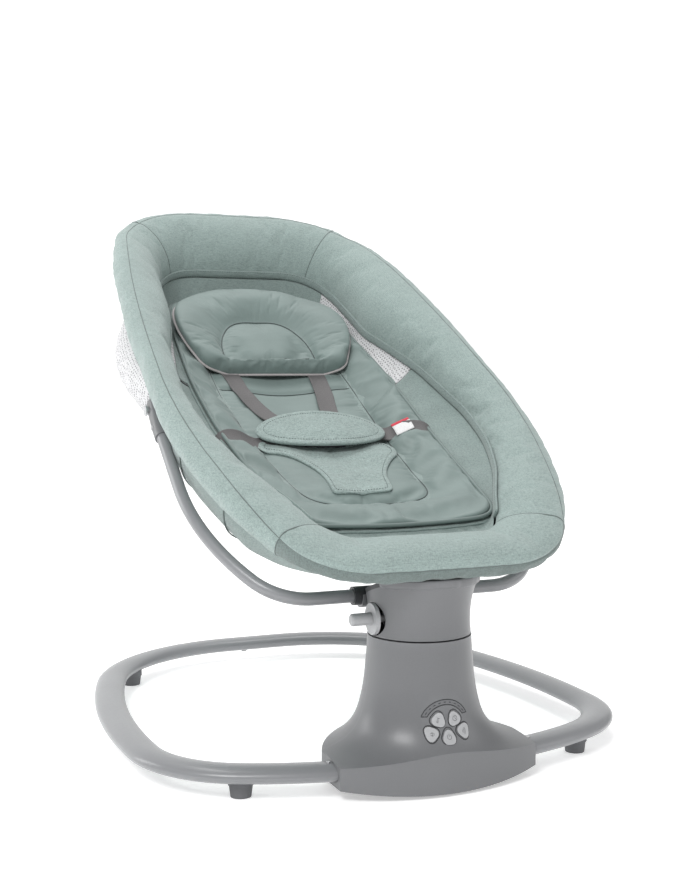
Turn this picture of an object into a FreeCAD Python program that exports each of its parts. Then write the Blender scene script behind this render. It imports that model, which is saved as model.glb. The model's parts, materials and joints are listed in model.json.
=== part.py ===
import FreeCAD, Part
import math
import os

# Baby swing: an oval floor ring, a flared drive housing at its front, a swivelling neck on top of it,
# two curved arms that rise from the neck, and a reclining padded seat hung between the arm tops.
# Millimetres. +X is across, +Y runs from the foot end to the head end, +Z is up. Left is -X and right is
# +X, as seen from the foot end.
# The origin is on the floor, in the middle of the whole swing's plan.

V = FreeCAD.Vector

# ---- driving dimensions -------------------------------------------------------------------------
FRAME_SHIFT = -36.9            # moves the ring's own middle to the middle of the whole plan
FLOOR_GAP = 15.0               # floor to the underside of the ring tube
RING_TUBE_W = 36.0             # oval ring tube, across
RING_TUBE_H = 18.0             # oval ring tube, tall
RING_WALL = 1.5
RING_FRONT_Y = -296.3          # centre line of the ring at the front
RING_STRAIGHT = 33.0           # half of the straight run at the front
RING_ARCS = ((387.0, 24.8), (122.4, 60.6), (863.5, 20.7), (206.9, 73.9))   # radius, turn in degrees
RING_Z = FLOOR_GAP + RING_TUBE_H / 2
FOOT_SPOTS = ((192.0, -256.0), (193.0, 221.0))

POST_Y = -260.0                # the swivel axis
HOUSING_TOP = 148.0
HOUSING_WALL = 2.5
HOUSING_CORE = 49.0            # radius that the flare narrows towards
SIDE_FLARE = (2096.0, 20.0, 1.25)     # half width = core + size / (height - start) ** power
FRONT_FLARE = (6990.0, 0.0, 1.45)     # reach to the front, likewise
REAR_SHARE = 0.9               # the rear flares this much less than the front
FLARE_LOW = 29.0
FLARE_LEVELS = 12
APRON_HALF = 109.0             # half width of the housing's foot
APRON_FRONT = -338.5
APRON_CORNER = -312.0
APRON_REAR_CORNER = -262.0
APRON_REAR = -186.0
APRON_LOW = 3.0                # floor to the foot's lower edge in the middle
APRON_END_RISE = 8.0           # how much higher that edge is at the two ends

PLATE_Z = 52.0                 # lower deck of the inner frame
UPPER_DECK_Z = 128.0
DECK_T = 4.0
SHAFT_R = 10.0
BEARING_R = 16.0
BEARING_H = 9.0
RUNNING_GAP = 0.05
GEAR_MODULE = 1.5
SECTOR_TEETH = 40
PINION_TEETH = 12
GEAR_Z = 95.0
GEAR_H = 8.0
GEAR_CENTRES = GEAR_MODULE * (SECTOR_TEETH + PINION_TEETH) / 2

NECK_BOTTOM = 149.6
NECK_WALL = 2.5
NECK_PROFILE = ((53.3, NECK_BOTTOM), (52.6, 160.0), (52.7, 172.0), (54.2, 185.0), (57.2, 197.0),
                (60.5, 206.0), (64.5, 215.0))
NECK_TOP = 203.0
SADDLE_FROM = V(0, -285.0, NECK_TOP)       # the slanted rear top of the neck starts here
SADDLE_TO = V(0, -236.0, 187.0)
KNOB_Y = -265.0
KNOB_Z = 167.0

ARM_R = 7.0
ARM_WALL = 1.5
ARM_START = V(26.0, -224.0, 184.0)
ARM_RISE = V(0, 0.8163, 0.5776)            # the arms lie in a plane that climbs this way
ARM_LATERAL = 77.7
ARM_ARCS = ((67.4, 57.3), (279.6, 32.7))
ARM_END_RUN = 115.0
HUB_LENGTH = 64.0
HUB_SOCKET = 26.0              # how deep the arm sits in the hub
HUB_BUTTON_AT = 19.0           # the hub's snap button, from the hub's mouth
HUB_BUTTON_HOLE = 3.4
PIVOT_AT = 52.0                # the seat's pivot, from the hub's mouth
PIVOT_R = 4.0

SEAT_FOOT = V(0, -312.9, 221.3)
SEAT_SLOPE = 30.5
RIM_STRAIGHT = 67.0
RIM_ARCS = ((92.0, 66.7), (698.0, 24.9), (3230.0, 6.6), (115.2, 81.8))
RIM_TUBE_R = 8.0
RIM_TUBE_WALL = 1.2
PAD_HALF_W = 21.5
PAD_HALF_H = 16.5
PAD_LIFT = 4.0                 # the padding sits this much above the tube's middle
LINER_T = 4.0
SOFT_GAP = 1.5
# along the seat from the foot, half width, depth of the hammock's underside below the rim
LINER_STATIONS = ((26.0, 104.0, 34.0), (60.0, 128.0, 46.0), (110.0, 145.0, 62.0), (200.0, 163.0, 90.0),
                  (300.0, 178.0, 114.0), (400.0, 181.0, 132.0), (500.0, 177.0, 141.0),
                  (600.0, 168.0, 139.0), (700.0, 155.0, 129.0), (760.0, 138.0, 118.0),
                  (792.0, 116.0, 108.0))
LINER_POWER = 3.2
HEAD_WALL_TOP = 812.0          # the head wall leans inwards from here
HEAD_WALL_LEAN = 88.0
# along the seat, half width of the cushion, depth of its top at the edge and in the middle
CUSHION_STATIONS = ((88.0, 96.0, 15.0, 17.0), (105.0, 112.0, 16.0, 24.0), (150.0, 124.0, 24.0, 38.0),
                    (250.0, 136.0, 42.0, 68.0), (350.0, 140.0, 53.0, 90.0), (450.0, 141.0, 60.0, 103.0),
                    (550.0, 138.0, 66.0, 106.0), (650.0, 128.0, 76.0, 98.0), (722.0, 112.0, 83.0, 89.0))
CUSHION_T = 24.0
PIVOT_INNER_X = 190.0          # inner face of the bracket's plate
BRACKET_T = 4.0
BRACKET_HALF = 30.0
BRACKET_PLAY = 0.7             # the rim's tube curves a little inside the straight sleeve
SLEEVE_WALL = 2.0
WAIST_PAD_DEPTH = 62.0
STRAP_W = 25.0

SNAP_X = -12.0                 # the ring's rear snap button, beside the joint
SNAP_R = 4.0
SPIGOT_HALF = 26.0
PLATE_LOW = 11.5               # underside of the housing's bottom plate
BOSS_SPOTS = ((62.0, -252.0), (-62.0, -252.0), (36.0, -224.0), (-36.0, -224.0))
JACK_W = 14.0
JACK_H = 12.0
JACK_LOW = 15.0
NECK_CORE_TOP = 176.0
COLLAR_R = 9.8
KNOB_DISC_R = 16.0

WINDOW_CENTRE_Z = 64.0         # centre of the arched display window
WINDOW_OUTER = 27.5
WINDOW_INNER = 23.5
WINDOW_LOW = 76.0
BUTTON_BOARD_Y = -312.6
BUTTON_FLANGE_Y = -316.5
BUTTON_PROUD = 1.2
BUTTON_GAP = 0.4
BUTTON_SIZE = 6.6
# name, across, height
BUTTONS = (
    ("button_music", -8.7, 73.0),
    ("button_timer", 8.7, 73.0),
    ("button_volume", -17.8, 61.0),
    ("button_speed", 17.8, 61.0),
    ("button_power", 0.0, 56.5),
)


# ---- helpers ------------------------------------------------------------------------------------
def export(name, shape):
    """Write one sub-part, moved from the ring's own frame to the swing's frame."""
    placed = shape.copy()
    placed.translate(V(0, FRAME_SHIFT, 0))
    placed.exportStep(os.path.join("parts", name + ".step"))


def mirrored(shape):
    return shape.mirror(V(0, 0, 0), V(1, 0, 0))


def box(x0, x1, y0, y1, z0, z1):
    return Part.makeBox(x1 - x0, y1 - y0, z1 - z0, V(x0, y0, z0))


def rod(radius, start, end):
    axis = end - start
    return Part.makeCylinder(radius, axis.Length, start, axis)


def ring(outer, inner, start, end):
    return rod(outer, start, end).cut(rod(inner, start, end))


def closed_spline(points):
    curve = Part.BSplineCurve()
    curve.interpolate(Points=points, PeriodicFlag=True)
    return Part.Wire([curve.toShape()])


def open_spline(points):
    curve = Part.BSplineCurve()
    curve.interpolate(Points=points)
    return curve.toShape()


def ellipse_wire(centre, long_dir, short_dir, long_half, short_half):
    """An ellipse about centre; long_half is the larger of the two."""
    curve = Part.Ellipse(centre + long_dir * long_half, centre + short_dir * short_half, centre)
    return Part.Wire([curve.toShape()])


def plane_path(straight, arcs, place, first=0, last=None):
    """Edges of a half outline: a straight run along +x, then tangent left-hand arcs, then a closing
    straight run back to x = 0. place(x, y) puts a flat point in space. first and last pick edges."""
    edges = []
    x = straight
    y = 0.0
    heading = 0.0
    if straight > 0:
        edges.append(Part.makeLine(place(0, 0), place(straight, 0)))
    for radius, turn in arcs:
        cx = x - radius * math.sin(heading)
        cy = y + radius * math.cos(heading)
        spots = []
        for share in (0.0, 0.5, 1.0):
            angle = heading + math.radians(turn) * share
            spots.append(place(cx + radius * math.sin(angle), cy - radius * math.cos(angle)))
        edges.append(Part.Arc(*spots).toShape())
        heading += math.radians(turn)
        x = cx + radius * math.sin(heading)
        y = cy - radius * math.cos(heading)
    if x > 0.5:
        edges.append(Part.makeLine(place(x, y), place(0, y)))
    return edges[first:last]


def sweep(edges, section_at):
    """A solid along the edges; section_at(point, tangent) gives the closed wire at the start."""
    path = Part.Wire(edges)
    start = edges[0]
    point = start.valueAt(start.FirstParameter)
    tangent = start.tangentAt(start.FirstParameter)
    return path.makePipeShell([section_at(point, tangent)], True, False)


def oval(half_w, half_h, up):
    """A section for sweep: half_w across the path in its plane, half_h along up."""
    def section(point, tangent):
        across = tangent.cross(up)
        if half_w >= half_h:
            return ellipse_wire(point, across, up, half_w, half_h)
        return ellipse_wire(point, up, across, half_h, half_w)
    return section


def circle(radius):
    def section(point, tangent):
        return Part.Wire([Part.makeCircle(radius, point, tangent)])
    return section


# ---- floor ring ---------------------------------------------------------------------------------
UP = V(0, 0, 1)


def ring_point(x, y):
    return V(x, RING_FRONT_Y + y, RING_Z)


def ring_solid(grow, first=0, last=None):
    half_w = RING_TUBE_W / 2 + grow
    half_h = RING_TUBE_H / 2 + grow
    return sweep(plane_path(RING_STRAIGHT, RING_ARCS, ring_point, first, last), oval(half_w, half_h, UP))


def rear_middle():
    last = plane_path(RING_STRAIGHT, RING_ARCS, ring_point)[-1]
    return last.valueAt(last.LastParameter)


def base_tubes():
    """The two hollow halves of the ring and the sleeve that joins them at the rear."""
    stop = box(-1, 8, -400, -200, 0, 60)          # the halves end short of each other in the housing
    right = ring_solid(0).cut(ring_solid(-RING_WALL)).cut(stop)
    middle = rear_middle()
    snap_hole = rod(SNAP_R + 0.1, V(SNAP_X, middle.y, 0), V(SNAP_X, middle.y, RING_Z))
    left = mirrored(right).cut(snap_hole)
    sleeve = oval_prism(middle, RING_WALL + 0.1).cut(oval_prism(middle, RING_WALL + 1.6)).cut(snap_hole)
    return left, right, sleeve


def oval_prism(middle, inset):
    """A straight oval bar about the rear joint, inset from the outside of the ring tube."""
    start = V(-SPIGOT_HALF, middle.y, middle.z)
    wire = ellipse_wire(start, V(0, 1, 0), UP, RING_TUBE_W / 2 - inset, RING_TUBE_H / 2 - inset)
    return Part.Face(wire).extrude(V(2 * SPIGOT_HALF, 0, 0))


def base_snap_button():
    """Sprung button that holds the ring's rear joint, pushed up from below."""
    middle = rear_middle()
    pin = rod(SNAP_R, V(SNAP_X, middle.y, FLOOR_GAP - 2.0), V(SNAP_X, middle.y, FLOOR_GAP + 4.6))
    flange = rod(SNAP_R + 2.0, V(SNAP_X, middle.y, FLOOR_GAP + 4.6), V(SNAP_X, middle.y, FLOOR_GAP + 6.4))
    button = pin.fuse(flange)
    return button.makeFillet(1.0, [edge for edge in button.Edges if edge.BoundBox.ZMax < FLOOR_GAP - 1.9])


def rubber_feet():
    ring_body = ring_solid(0)
    both = ring_body.fuse(mirrored(ring_body))
    feet = []
    for across, along in FOOT_SPOTS:
        for side in (-1, 1):
            pad = Part.makeCone(10.5, 12.0, FLOOR_GAP - 3.0, V(side * across, along, 0))
            cap = rod(13.0, V(side * across, along, FLOOR_GAP - 3.0), V(side * across, along, FLOOR_GAP + 6.0))
            foot = pad.fuse(cap).cut(both)
            feet.append(max(foot.Solids, key=lambda solid: solid.Volume))
    return Part.makeCompound(feet)


# ---- drive housing ------------------------------------------------------------------------------
def flare(size, start, power, height):
    return size / (height - start) ** power


def flare_heights():
    """Heights of the flare's sections, evenly spaced along its flank."""
    fine = [FLARE_LOW + (HOUSING_TOP - FLARE_LOW) * step / 400 for step in range(401)]
    reach = [flare(*SIDE_FLARE, height) for height in fine]
    travelled = [0.0]
    for index in range(400):
        travelled.append(travelled[-1] + math.hypot(fine[index + 1] - fine[index], reach[index + 1] - reach[index]))
    heights = []
    for level in range(FLARE_LEVELS):
        goal = travelled[-1] * level / (FLARE_LEVELS - 1)
        heights.append(min(zip(travelled, fine), key=lambda pair: abs(pair[0] - goal))[1])
    return heights


def flare_solid(grow):
    """The housing's flared body above its foot, offset sideways by grow."""
    wires = []
    for height in flare_heights():
        half_w = HOUSING_CORE + flare(*SIDE_FLARE, height)
        front = HOUSING_CORE + flare(*FRONT_FLARE, height)
        rear = HOUSING_CORE + flare(*FRONT_FLARE, height) * REAR_SHARE
        points = []
        for step in range(24):
            angle = 2 * math.pi * step / 24
            reach = front if math.sin(angle) < 0 else rear
            points.append(V((half_w + grow) * math.cos(angle), POST_Y + (reach + grow) * math.sin(angle),
                            height))
        wires.append(closed_spline(points))
    return Part.makeLoft(wires, True, False)


def apron_prism(inset, height=HOUSING_TOP):
    """The plan of the housing's foot as an upright prism: bowed front and rear, flat ends."""
    half = APRON_HALF - inset
    front = APRON_FRONT + inset
    rear = APRON_REAR - inset
    front_arc = Part.Arc(V(-half, APRON_CORNER + inset, 0), V(0, front, 0), V(half, APRON_CORNER + inset, 0))
    right_end = Part.makeLine(V(half, APRON_CORNER + inset, 0), V(half, APRON_REAR_CORNER - inset, 0))
    rear_arc = Part.Arc(V(half, APRON_REAR_CORNER - inset, 0), V(0, rear, 0),
                        V(-half, APRON_REAR_CORNER - inset, 0))
    left_end = Part.makeLine(V(-half, APRON_REAR_CORNER - inset, 0), V(-half, APRON_CORNER + inset, 0))
    outline = Part.Wire([front_arc.toShape(), right_end, rear_arc.toShape(), left_end])
    return Part.Face(outline).extrude(V(0, 0, height))


def housing_body(inset):
    foot = apron_prism(inset, FLARE_LOW)
    return flare_solid(-inset).common(apron_prism(inset)).fuse(foot)


def under_bow():
    """What is cut away below the housing so that its lower edge rises towards the two ends."""
    rise = APRON_END_RISE
    radius = (APRON_HALF ** 2 + rise ** 2) / (2 * rise)
    centre = V(0, POST_Y - 150, APRON_LOW + radius)
    bow = rod(radius, centre, centre + V(0, 300, 0))
    return box(-200, 200, POST_Y - 140, POST_Y + 140, -20, APRON_LOW + rise + 1).cut(bow)


def pebble(x, z, radius, y0, y1, toward_x, toward_z):
    """A rounded three-cornered button outline as a bar along Y; one corner points at (toward_x, toward_z)."""
    points = []
    aim = math.atan2(toward_z - z, toward_x - x)
    for step in range(18):
        angle = 2 * math.pi * step / 18
        reach = radius * (1 + 0.10 * math.cos(3 * (angle - aim)))
        points.append(V(x + reach * math.cos(angle), y0, z + reach * math.sin(angle)))
    return Part.Face(closed_spline(points)).extrude(V(0, y1 - y0, 0))


def window_bar(grow):
    """The arched display window as a bar along Y."""
    centre = V(0, -345.0, WINDOW_CENTRE_Z)
    outer = rod(WINDOW_OUTER + grow, centre, centre + V(0, 40, 0))
    inner = rod(WINDOW_INNER - grow, centre, centre + V(0, 40, 0))
    return outer.cut(inner).common(box(-40, 40, -346, -300, WINDOW_LOW - grow, 120))


def buttons(skin):
    caps = {}
    for name, x, z in BUTTONS:
        cap = pebble(x, z, BUTTON_SIZE, -345.0, BUTTON_FLANGE_Y, 0.0, WINDOW_CENTRE_Z)
        flange = pebble(x, z, BUTTON_SIZE + 1.3, BUTTON_FLANGE_Y, BUTTON_FLANGE_Y + 1.5, 0.0, WINDOW_CENTRE_Z)
        caps[name] = cap.common(skin).fuse(flange)
    return caps


def housing_shells():
    """Front and rear shells, the window between them and the outside, and the five buttons."""
    outer = housing_body(0)
    inner = housing_body(HOUSING_WALL).common(box(-200, 200, -500, 0, -10, HOUSING_TOP - HOUSING_WALL))
    shell = outer.cut(inner).cut(under_bow())
    shell = shell.cut(rod(BEARING_R + 3.0, V(0, POST_Y, HOUSING_TOP - 10), V(0, POST_Y, HOUSING_TOP + 10)))
    tube = ring_solid(0.4)
    shell = shell.cut(tube).cut(mirrored(tube))
    front = shell.common(box(-200, 200, -400, POST_Y, -10, 200))
    rear = shell.common(box(-200, 200, POST_Y, 0, -10, 200))
    window = front.common(window_bar(0))
    front = front.cut(window_bar(0))
    for name, x, z in BUTTONS:
        front = front.cut(pebble(x, z, BUTTON_SIZE + BUTTON_GAP, -345.0, -305.0, 0.0, WINDOW_CENTRE_Z))
    jack_hole = box(-JACK_W / 2, JACK_W / 2, APRON_REAR - 12, APRON_REAR + 5, JACK_LOW, JACK_LOW + JACK_H)
    rear = rear.cut(jack_hole)
    return front, rear, window, buttons(flare_solid(BUTTON_PROUD))


def dc_inlet_jack():
    """Low-voltage inlet in the rear shell: a square body, a round socket and its centre pin."""
    body = box(-JACK_W / 2 + 0.2, JACK_W / 2 - 0.2, APRON_REAR - 14, APRON_REAR - 1.0,
               JACK_LOW + 0.2, JACK_LOW + JACK_H - 0.2)
    middle_z = JACK_LOW + JACK_H / 2
    socket = rod(3.15, V(0, APRON_REAR - 11, middle_z), V(0, APRON_REAR + 1, middle_z))
    pin = rod(1.0, V(0, APRON_REAR - 12, middle_z), V(0, APRON_REAR - 2.5, middle_z))
    return body.cut(socket).fuse(pin)


def bottom_plate():
    plate = apron_prism(HOUSING_WALL + 0.3).common(box(-200, 200, -400, -100, PLATE_LOW, PLATE_LOW + 2.5))
    plate = plate.cut(under_bow())
    for x, y in BOSS_SPOTS:
        plate = plate.cut(rod(2.0, V(x, y, 0), V(x, y, 40)))
    tube = ring_solid(0.4)
    return plate.cut(tube).cut(mirrored(tube))


def housing_screws():
    """Screws up through the bottom plate into the legs of the inner frame."""
    screws = []
    for x, y in BOSS_SPOTS:
        shank = rod(1.9, V(x, y, PLATE_LOW - 1.0), V(x, y, PLATE_LOW + 14.0))
        head = rod(3.6, V(x, y, PLATE_LOW - 2.6), V(x, y, PLATE_LOW))
        screws.append(shank.fuse(head))
    return Part.makeCompound(screws)


def tube_clamps():
    """Saddles inside the housing that hold each half of the ring down on the bottom plate."""
    tube = ring_solid(0)
    saddle = box(26, 44, -322, -272, PLATE_LOW + 2.5, RING_Z + RING_TUBE_H / 2 + 3.0)
    saddle = saddle.common(apron_prism(HOUSING_WALL + 0.5)).cut(tube)
    return Part.makeCompound([saddle, mirrored(saddle)])


def tube_end_screws():
    """The screw at each mouth of the housing that pins the ring tube."""
    top = RING_Z + RING_TUBE_H / 2
    screw = rod(2.2, V(112.5, -289.0, top - 0.6), V(112.5, -289.0, top + 1.4))
    screw = screw.cut(ring_solid(0))
    return Part.makeCompound([screw, mirrored(screw)])


# ---- drive --------------------------------------------------------------------------------------
def post(z):
    return V(0, POST_Y, z)


def inner_frame():
    """Two decks on columns inside the housing; they hold the bearings and the motor."""
    lower = rod(50.0, post(PLATE_Z), post(PLATE_Z + DECK_T)).common(box(-60, 60, -309, 0, 0, 200))
    lower = lower.fuse(box(-66, 66, -262, -246, PLATE_Z, PLATE_Z + DECK_T))
    boss = rod(BEARING_R + 4.0, post(PLATE_Z - 6.0), post(PLATE_Z + 10.0))
    upper = rod(48.0, post(UPPER_DECK_Z), post(UPPER_DECK_Z + DECK_T))
    upper_boss = rod(BEARING_R + 4.0, post(UPPER_DECK_Z), post(UPPER_DECK_Z + 12.0))
    frame = lower.fuse(boss).fuse(upper).fuse(upper_boss)
    for angle in (-35.0, 35.0, 145.0, 215.0):
        x = 42.0 * math.cos(math.radians(angle))
        y = POST_Y + 42.0 * math.sin(math.radians(angle))
        frame = frame.fuse(rod(4.5, V(x, y, PLATE_Z), V(x, y, UPPER_DECK_Z)))
    for x, y in BOSS_SPOTS:
        frame = frame.fuse(rod(4.5, V(x, y, PLATE_LOW + 2.5), V(x, y, PLATE_Z + DECK_T)))
        frame = frame.cut(rod(1.9, V(x, y, 0), V(x, y, PLATE_LOW + 14.0)))
    pocket = rod(BEARING_R, post(PLATE_Z + 10.0 - BEARING_H), post(PLATE_Z + 20))
    upper_pocket = rod(BEARING_R, post(UPPER_DECK_Z + 12.0 - BEARING_H), post(UPPER_DECK_Z + 30))
    bore = rod(SHAFT_R + 1.0, post(0), post(200))
    shaft_hole = rod(5.0, V(0, POST_Y + GEAR_CENTRES, 0), V(0, POST_Y + GEAR_CENTRES, PLATE_Z + 10))
    return frame.cut(pocket).cut(upper_pocket).cut(bore).cut(shaft_hole)


def swivel_bearings():
    """The lower and the upper bearing of the swivel shaft."""
    bearings = []
    for top in (PLATE_Z + 10.0, UPPER_DECK_Z + 12.0):
        bearings.append(ring(BEARING_R, SHAFT_R + RUNNING_GAP, post(top - BEARING_H), post(top)))
    return Part.makeCompound(bearings)


def gear_motor():
    """Motor can, reduction box on top of it and its output boss."""
    centre = V(0, POST_Y + GEAR_CENTRES, 0)
    can = rod(12.0, centre + V(0, 0, PLATE_LOW + 2.5), centre + V(0, 0, PLATE_Z - 14))
    gearbox = rod(15.0, centre + V(0, 0, PLATE_Z - 14), centre + V(0, 0, PLATE_Z))
    return can.fuse(gearbox).cut(rod(3.0 + RUNNING_GAP, centre + V(0, 0, PLATE_Z - 12), centre + V(0, 0, PLATE_Z)))


def gear_outline(teeth, first, count, backlash, phase):
    """Tooth flanks as flat points about the gear's centre: an involute at 20 degrees pressure angle.
    phase is the direction of tooth number 0; backlash thins each flank by that many millimetres."""
    pitch_r = GEAR_MODULE * teeth / 2
    base_r = pitch_r * math.cos(math.radians(20))
    tip_r = pitch_r + 0.85 * GEAR_MODULE
    root_r = pitch_r - 1.25 * GEAR_MODULE

    def spread(radius):
        if radius <= base_r:
            return 0.0
        tangent = math.sqrt((radius / base_r) ** 2 - 1)
        return tangent - math.atan(tangent)

    half_tooth = math.pi / (2 * teeth) - backlash / pitch_r + spread(pitch_r)
    rising = [root_r, max(base_r, root_r + 0.2), (base_r + pitch_r) / 2, pitch_r, (pitch_r + tip_r) / 2, tip_r]
    points = []
    for index in range(first, first + count):
        middle = phase + 2 * math.pi * index / teeth
        for radius in rising:
            angle = middle - half_tooth + spread(radius)
            points.append((radius * math.cos(angle), radius * math.sin(angle)))
        for radius in reversed(rising):
            angle = middle + half_tooth - spread(radius)
            points.append((radius * math.cos(angle), radius * math.sin(angle)))
    return points


def prism(points, centre, height):
    corners = [centre + V(x, y, 0) for x, y in points]
    return Part.Face(Part.makePolygon(corners + [corners[0]])).extrude(V(0, 0, height))


def drive_pinion():
    centre = V(0, POST_Y + GEAR_CENTRES, GEAR_Z - 1.0)
    toward_post = math.radians(-90)
    tooth_gap = math.pi / PINION_TEETH
    points = gear_outline(PINION_TEETH, 0, PINION_TEETH, 0.12, toward_post + tooth_gap)
    shaft = rod(3.0, centre + V(0, 0, PLATE_Z - 10 - centre.z), centre + V(0, 0, 1))
    return prism(points, centre, GEAR_H + 2.0).fuse(shaft)


def sector_gear():
    """Toothed sector on the swivel shaft, turned by the pinion behind it."""
    centre = post(GEAR_Z)
    reach = 8
    points = gear_outline(SECTOR_TEETH, -reach, 2 * reach + 1, 0.12, math.radians(90))
    points.append((-12.0, 0.0))
    points.append((12.0, 0.0))
    sector = prism(points, centre, GEAR_H)
    hub = rod(15.0, centre, centre + V(0, 0, GEAR_H + 4))
    return sector.fuse(hub).cut(rod(SHAFT_R, post(0), post(200)))


def swivel_shaft():
    shaft = rod(SHAFT_R, post(PLATE_Z - 8.0), post(NECK_CORE_TOP))
    collar = rod(SHAFT_R + 3.0, post(UPPER_DECK_Z + 12.3), post(UPPER_DECK_Z + 16.3))
    return shaft.fuse(collar)


def main_circuit_board():
    board = box(24, 66, -284, -232, 38.0, 39.6)
    board = board.cut(rod(5.2, V(BOSS_SPOTS[0][0], BOSS_SPOTS[0][1], 0), V(BOSS_SPOTS[0][0], BOSS_SPOTS[0][1], 90)))
    chip = box(44, 56, -270, -258, 39.6, 41.6)
    coil = rod(5.0, V(60, -240, 39.6), V(60, -240, 46.0))
    return board.fuse(chip).fuse(coil)


def button_circuit_board():
    """Upright board behind the buttons with one tactile switch for each."""
    board = box(-23, 23, BUTTON_BOARD_Y, BUTTON_BOARD_Y + 1.6, 49.0, 79.0)
    for name, x, z in BUTTONS:
        board = board.fuse(rod(1.8, V(x, BUTTON_BOARD_Y, z), V(x, BUTTON_BOARD_Y - 1.0, z)))
    return board


def speaker():
    centre = V(-40.0, -277.0, 38.0)
    frame = rod(17.0, centre, centre + V(0, 0, 3.0))
    magnet = rod(9.0, centre + V(0, 0, 3.0), centre + V(0, 0, 9.0))
    return frame.fuse(magnet)


# ---- neck ---------------------------------------------------------------------------------------
def neck_trumpet(grow):
    """The neck as a solid of revolution about the post, offset sideways by grow."""
    profile = [V(radius + grow, POST_Y, z) for radius, z in NECK_PROFILE]
    flank = open_spline(profile)
    top = NECK_PROFILE[-1][1]
    bottom = NECK_PROFILE[0][1]
    edges = [
        flank,
        Part.makeLine(profile[-1], V(0, POST_Y, top)),
        Part.makeLine(V(0, POST_Y, top), V(0, POST_Y, bottom)),
        Part.makeLine(V(0, POST_Y, bottom), profile[0]),
    ]
    return Part.Face(Part.Wire(edges)).revolve(V(0, POST_Y, 0), UP, 360)


def shoulder_bar(radius, half_length):
    return rod(radius, V(-half_length, ARM_START.y, ARM_START.z), V(half_length, ARM_START.y, ARM_START.z))


def saddle_cut(lift):
    """Everything above the neck's top: level at the front, slanting down to the rear, raised by lift."""
    run = SADDLE_TO - SADDLE_FROM
    far = SADDLE_FROM + run * 3
    side = [
        V(-120, -400, SADDLE_FROM.z + lift),
        V(-120, SADDLE_FROM.y, SADDLE_FROM.z + lift),
        V(-120, far.y, far.z + lift),
        V(-120, far.y, 300),
        V(-120, -400, 300),
    ]
    return Part.Face(Part.makePolygon(side + [side[0]])).extrude(V(240, 0, 0))


def neck_front_shell():
    outer = neck_trumpet(0).fuse(shoulder_bar(12.5, 52.0))
    hollow = neck_trumpet(-NECK_WALL).common(box(-90, 90, -400, -100, NECK_BOTTOM + NECK_WALL, 300))
    shell = outer.cut(hollow).cut(saddle_cut(0)).cut(shoulder_bar(COLLAR_R, 70.0))
    shell = shell.cut(rod(SHAFT_R, post(100), post(300)))
    shell = shell.cut(rod(KNOB_DISC_R + 0.8, V(-70, KNOB_Y, KNOB_Z), V(-42, KNOB_Y, KNOB_Z)))
    return max(shell.Solids, key=lambda solid: solid.Volume)


def neck_rear_bracket():
    """Dark cover that lies on the neck's slanted top and ends in a collar round each arm."""
    cover = neck_trumpet(-0.2).common(saddle_cut(0)).cut(saddle_cut(4.5))
    cover = cover.cut(box(-120, 120, -400, SADDLE_FROM.y, 0, 300))
    collars = shoulder_bar(COLLAR_R, 60.0)
    cover = cover.fuse(collars).cut(box(-38, 38, -300, -150, 150, 183.0))
    return cover.cut(shoulder_bar(ARM_R, 70.0)).cut(shoulder_bar(ARM_R + 2.2, 36.0))


def neck_core():
    """Casting inside the neck: clamps the swivel shaft below and the two arms above."""
    hub = rod(20.0, post(NECK_BOTTOM + NECK_WALL), post(NECK_CORE_TOP))
    arm_bar = rod(ARM_R + 2.2, V(-36, ARM_START.y, ARM_START.z), V(36, ARM_START.y, ARM_START.z))
    rib = box(-8, 8, -262, ARM_START.y + 4, NECK_BOTTOM + NECK_WALL, ARM_START.z)
    core = hub.fuse(rib).fuse(arm_bar)
    core = core.cut(rod(SHAFT_R, post(100), post(NECK_CORE_TOP)))
    core = core.cut(rod(ARM_R, V(24, ARM_START.y, ARM_START.z), V(80, ARM_START.y, ARM_START.z)))
    core = core.cut(rod(ARM_R, V(-24, ARM_START.y, ARM_START.z), V(-80, ARM_START.y, ARM_START.z)))
    core = core.cut(rod(4.1, V(-40, KNOB_Y, KNOB_Z), V(-10, KNOB_Y, KNOB_Z)))
    return core.cut(saddle_cut(-0.3))


def neck_screws():
    screws = []
    for x in (-14.0, 14.0):
        screws.append(rod(2.0, V(x, -268.0, NECK_CORE_TOP), V(x, -268.0, NECK_CORE_TOP + 2.4)))
    return Part.makeCompound(screws)


def swing_lock_knob():
    """Round-cornered plate and finger peg on the neck's side; its rod slides into the core."""
    face = rod(KNOB_DISC_R, V(-56.6, KNOB_Y, KNOB_Z), V(-52.6, KNOB_Y, KNOB_Z))
    peg = rod(6.4, V(-79.0, KNOB_Y, KNOB_Z + 0.5), V(-56.6, KNOB_Y, KNOB_Z + 0.5))
    peg = peg.makeFillet(2.6, [edge for edge in peg.Edges if edge.BoundBox.XMax < -78.9])
    shank = rod(4.0, V(-52.6, KNOB_Y, KNOB_Z), V(-24.0, KNOB_Y, KNOB_Z))
    return face.fuse(peg).fuse(shank)


def lock_spring():
    """Rubber bellows round the knob's rod; it pushes the knob back out of the neck."""
    folds = 4
    fold_length = 4.0
    wall = 1.2
    inner = []
    outer = []
    for step in range(2 * folds + 1):
        x = -42.0 + step * fold_length / 2
        radius = 8.0 if step % 2 else 5.2
        inner.append(V(x, KNOB_Y + radius, KNOB_Z))
        outer.insert(0, V(x, KNOB_Y + radius + wall, KNOB_Z))
    profile = Part.Face(Part.makePolygon(inner + outer + [inner[0]]))
    return profile.revolve(V(0, KNOB_Y, KNOB_Z), V(1, 0, 0), 360)


# ---- arms ---------------------------------------------------------------------------------------
def arm_point(x, y):
    return ARM_START + V(x, 0, 0) + ARM_RISE * y


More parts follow.
